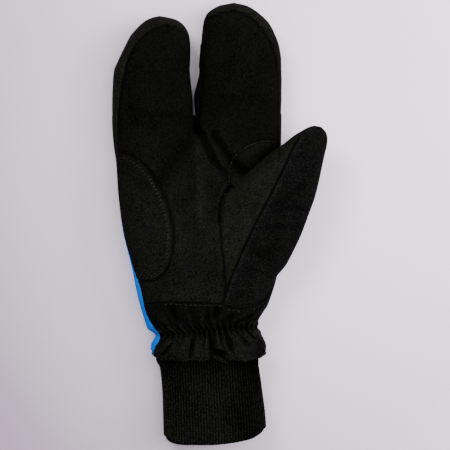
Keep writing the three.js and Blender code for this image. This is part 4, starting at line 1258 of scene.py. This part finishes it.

# %% [markdown]
# ## What each piece stands for
# Every piece rides on the one body there is and replaces the solid it dresses. The record
# has no thread, so stitches take the palm's. No pattern of the cloth is known. The flat
# area given with a sheet is the modelled surface's own, so the tool's comparison of the
# two says nothing about a real cut.

# %% Tie the pieces to the solids
for piece, solid, slot in (
        (palm, "palm_panel", "palm_microfibre"), (finger_back, "finger_back", "black_shell"),
        (blue_back, "back_panel", "blue_shell"),
        (fourchette, "finger_fourchette", "black_shell"),
        (thumb_front, "thumb_palm_panel", "palm_microfibre"),
        (terry_piece, "thumb_terry_panel", "terry"), (heel, "heel_patch", "palm_microfibre"),
        (crotch, "thumb_crotch_patch", "palm_microfibre"),
        (skirt, "wrist_skirt", "skirt_fabric"), (cuff, "rib_cuff", "rib_knit"),
        (loop, "hang_loop", "loop_tape")):
    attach(piece, "root")
    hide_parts(solid)
for piece in thread_pieces:
    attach(piece, "root")
for piece, wide, long, held in ((skirt, 0.125, 0.06, "gathered"), (heel, 0.046, 0.085, "laid"),
                                (crotch, 0.036, 0.036, "laid"),
                                (fourchette, 0.018, 0.06, "stretched")):
    cut = sum(face.area for face in piece.data.polygons)
    print(piece.name, "cut from", round(cut * 1e4, 2), "square cm")

# %% [markdown]
# ## Floor, light and camera
# The mitt lies on a pale sheet whose colour is painted light: lighter toward the upper
# right, and lighter near the mitt, over its shadow. Three soft lights stand above the finger
# tips, overhead and on the thumb side. The camera looks straight down.

# %% Stage
def floor_piece():
    """A square of matt paper. Its colour follows x + y / 2, plus a share near the mitt:
    painted light, and painted light over the mitt's shadow.
    """
    half = 3.0
    mesh = bpy.data.meshes.new("floor")
    mesh.from_pydata([(-half, -half, 0), (half, -half, 0), (half, half, 0), (-half, half, 0)],
                     [], [(0, 1, 2, 3)])
    paper, tree, shader = new_cloth("matt_paper", 0.95, 0.1)
    place = object_place(tree)
    split = node(tree, "ShaderNodeSeparateXYZ", Vector=place)
    slope = maths(tree, "MULTIPLY_ADD", split.outputs["Y"], 0.5, split.outputs["X"])
    away = node(tree, "ShaderNodeVectorMath", {"operation": "LENGTH"}, _0=place).outputs["Value"]
    # Painted light round the mitt, over its shadow.
    near = range_of(tree, away, 0.07, 0.18, 0.11, 0.0)
    both = maths(tree, "ADD", slope, near)
    colour = blend_colours(tree, range_of(tree, both, -0.21, 0.21), "a08da1", "fdf3ff")
    tree.links.new(colour, shader.inputs["Base Color"])
    mesh.materials.append(paper)
    return shown("floor", mesh)


floor_piece()


def soft_light(name, place, size, power):
    """A round lamp that looks at the origin."""
    lamp = bpy.data.lights.new(name, "AREA")
    lamp.shape = "DISK"
    lamp.size = size
    lamp.energy = power
    lit = bpy.data.objects.new(name, lamp)
    bpy.context.collection.objects.link(lit)
    lit.location = place
    lit.rotation_euler = (-Vector(place)).to_track_quat("-Z", "Y").to_euler()


soft_light("key", (-0.6, 0.9, 1.3), 0.8, 23)
soft_light("overhead", (0.5, 0.1, 1.5), 1.4, 19.5)
soft_light("thumb_side", (1.3, 0.2, 0.8), 0.9, 27)
world = bpy.data.worlds.new("studio")
world.use_nodes = True
sky = world.node_tree.nodes["Background"]
sky.inputs["Color"].default_value = linear("eeeef2")
sky.inputs["Strength"].default_value = 0.65
bpy.context.scene.world = world

LENS, SENSOR = 200, 36              # mm, long enough for nearly parallel rays
PALM_PLANE = 0.015                  # the height at which the frame's width is set
lens = bpy.data.cameras.new("camera")
lens.lens = LENS
lens.sensor_width = SENSOR
camera = bpy.data.objects.new("camera", lens)
bpy.context.collection.objects.link(camera)
WIDE = 0.2938                       # what the photo's frame spans at the height of the palm
camera.location = (0.0038, -0.0007, PALM_PLANE + WIDE * LENS / SENSOR)
camera.rotation_euler = (0, 0, 0)
bpy.context.scene.camera = camera

# %% Update the scene
bpy.context.view_layer.update()
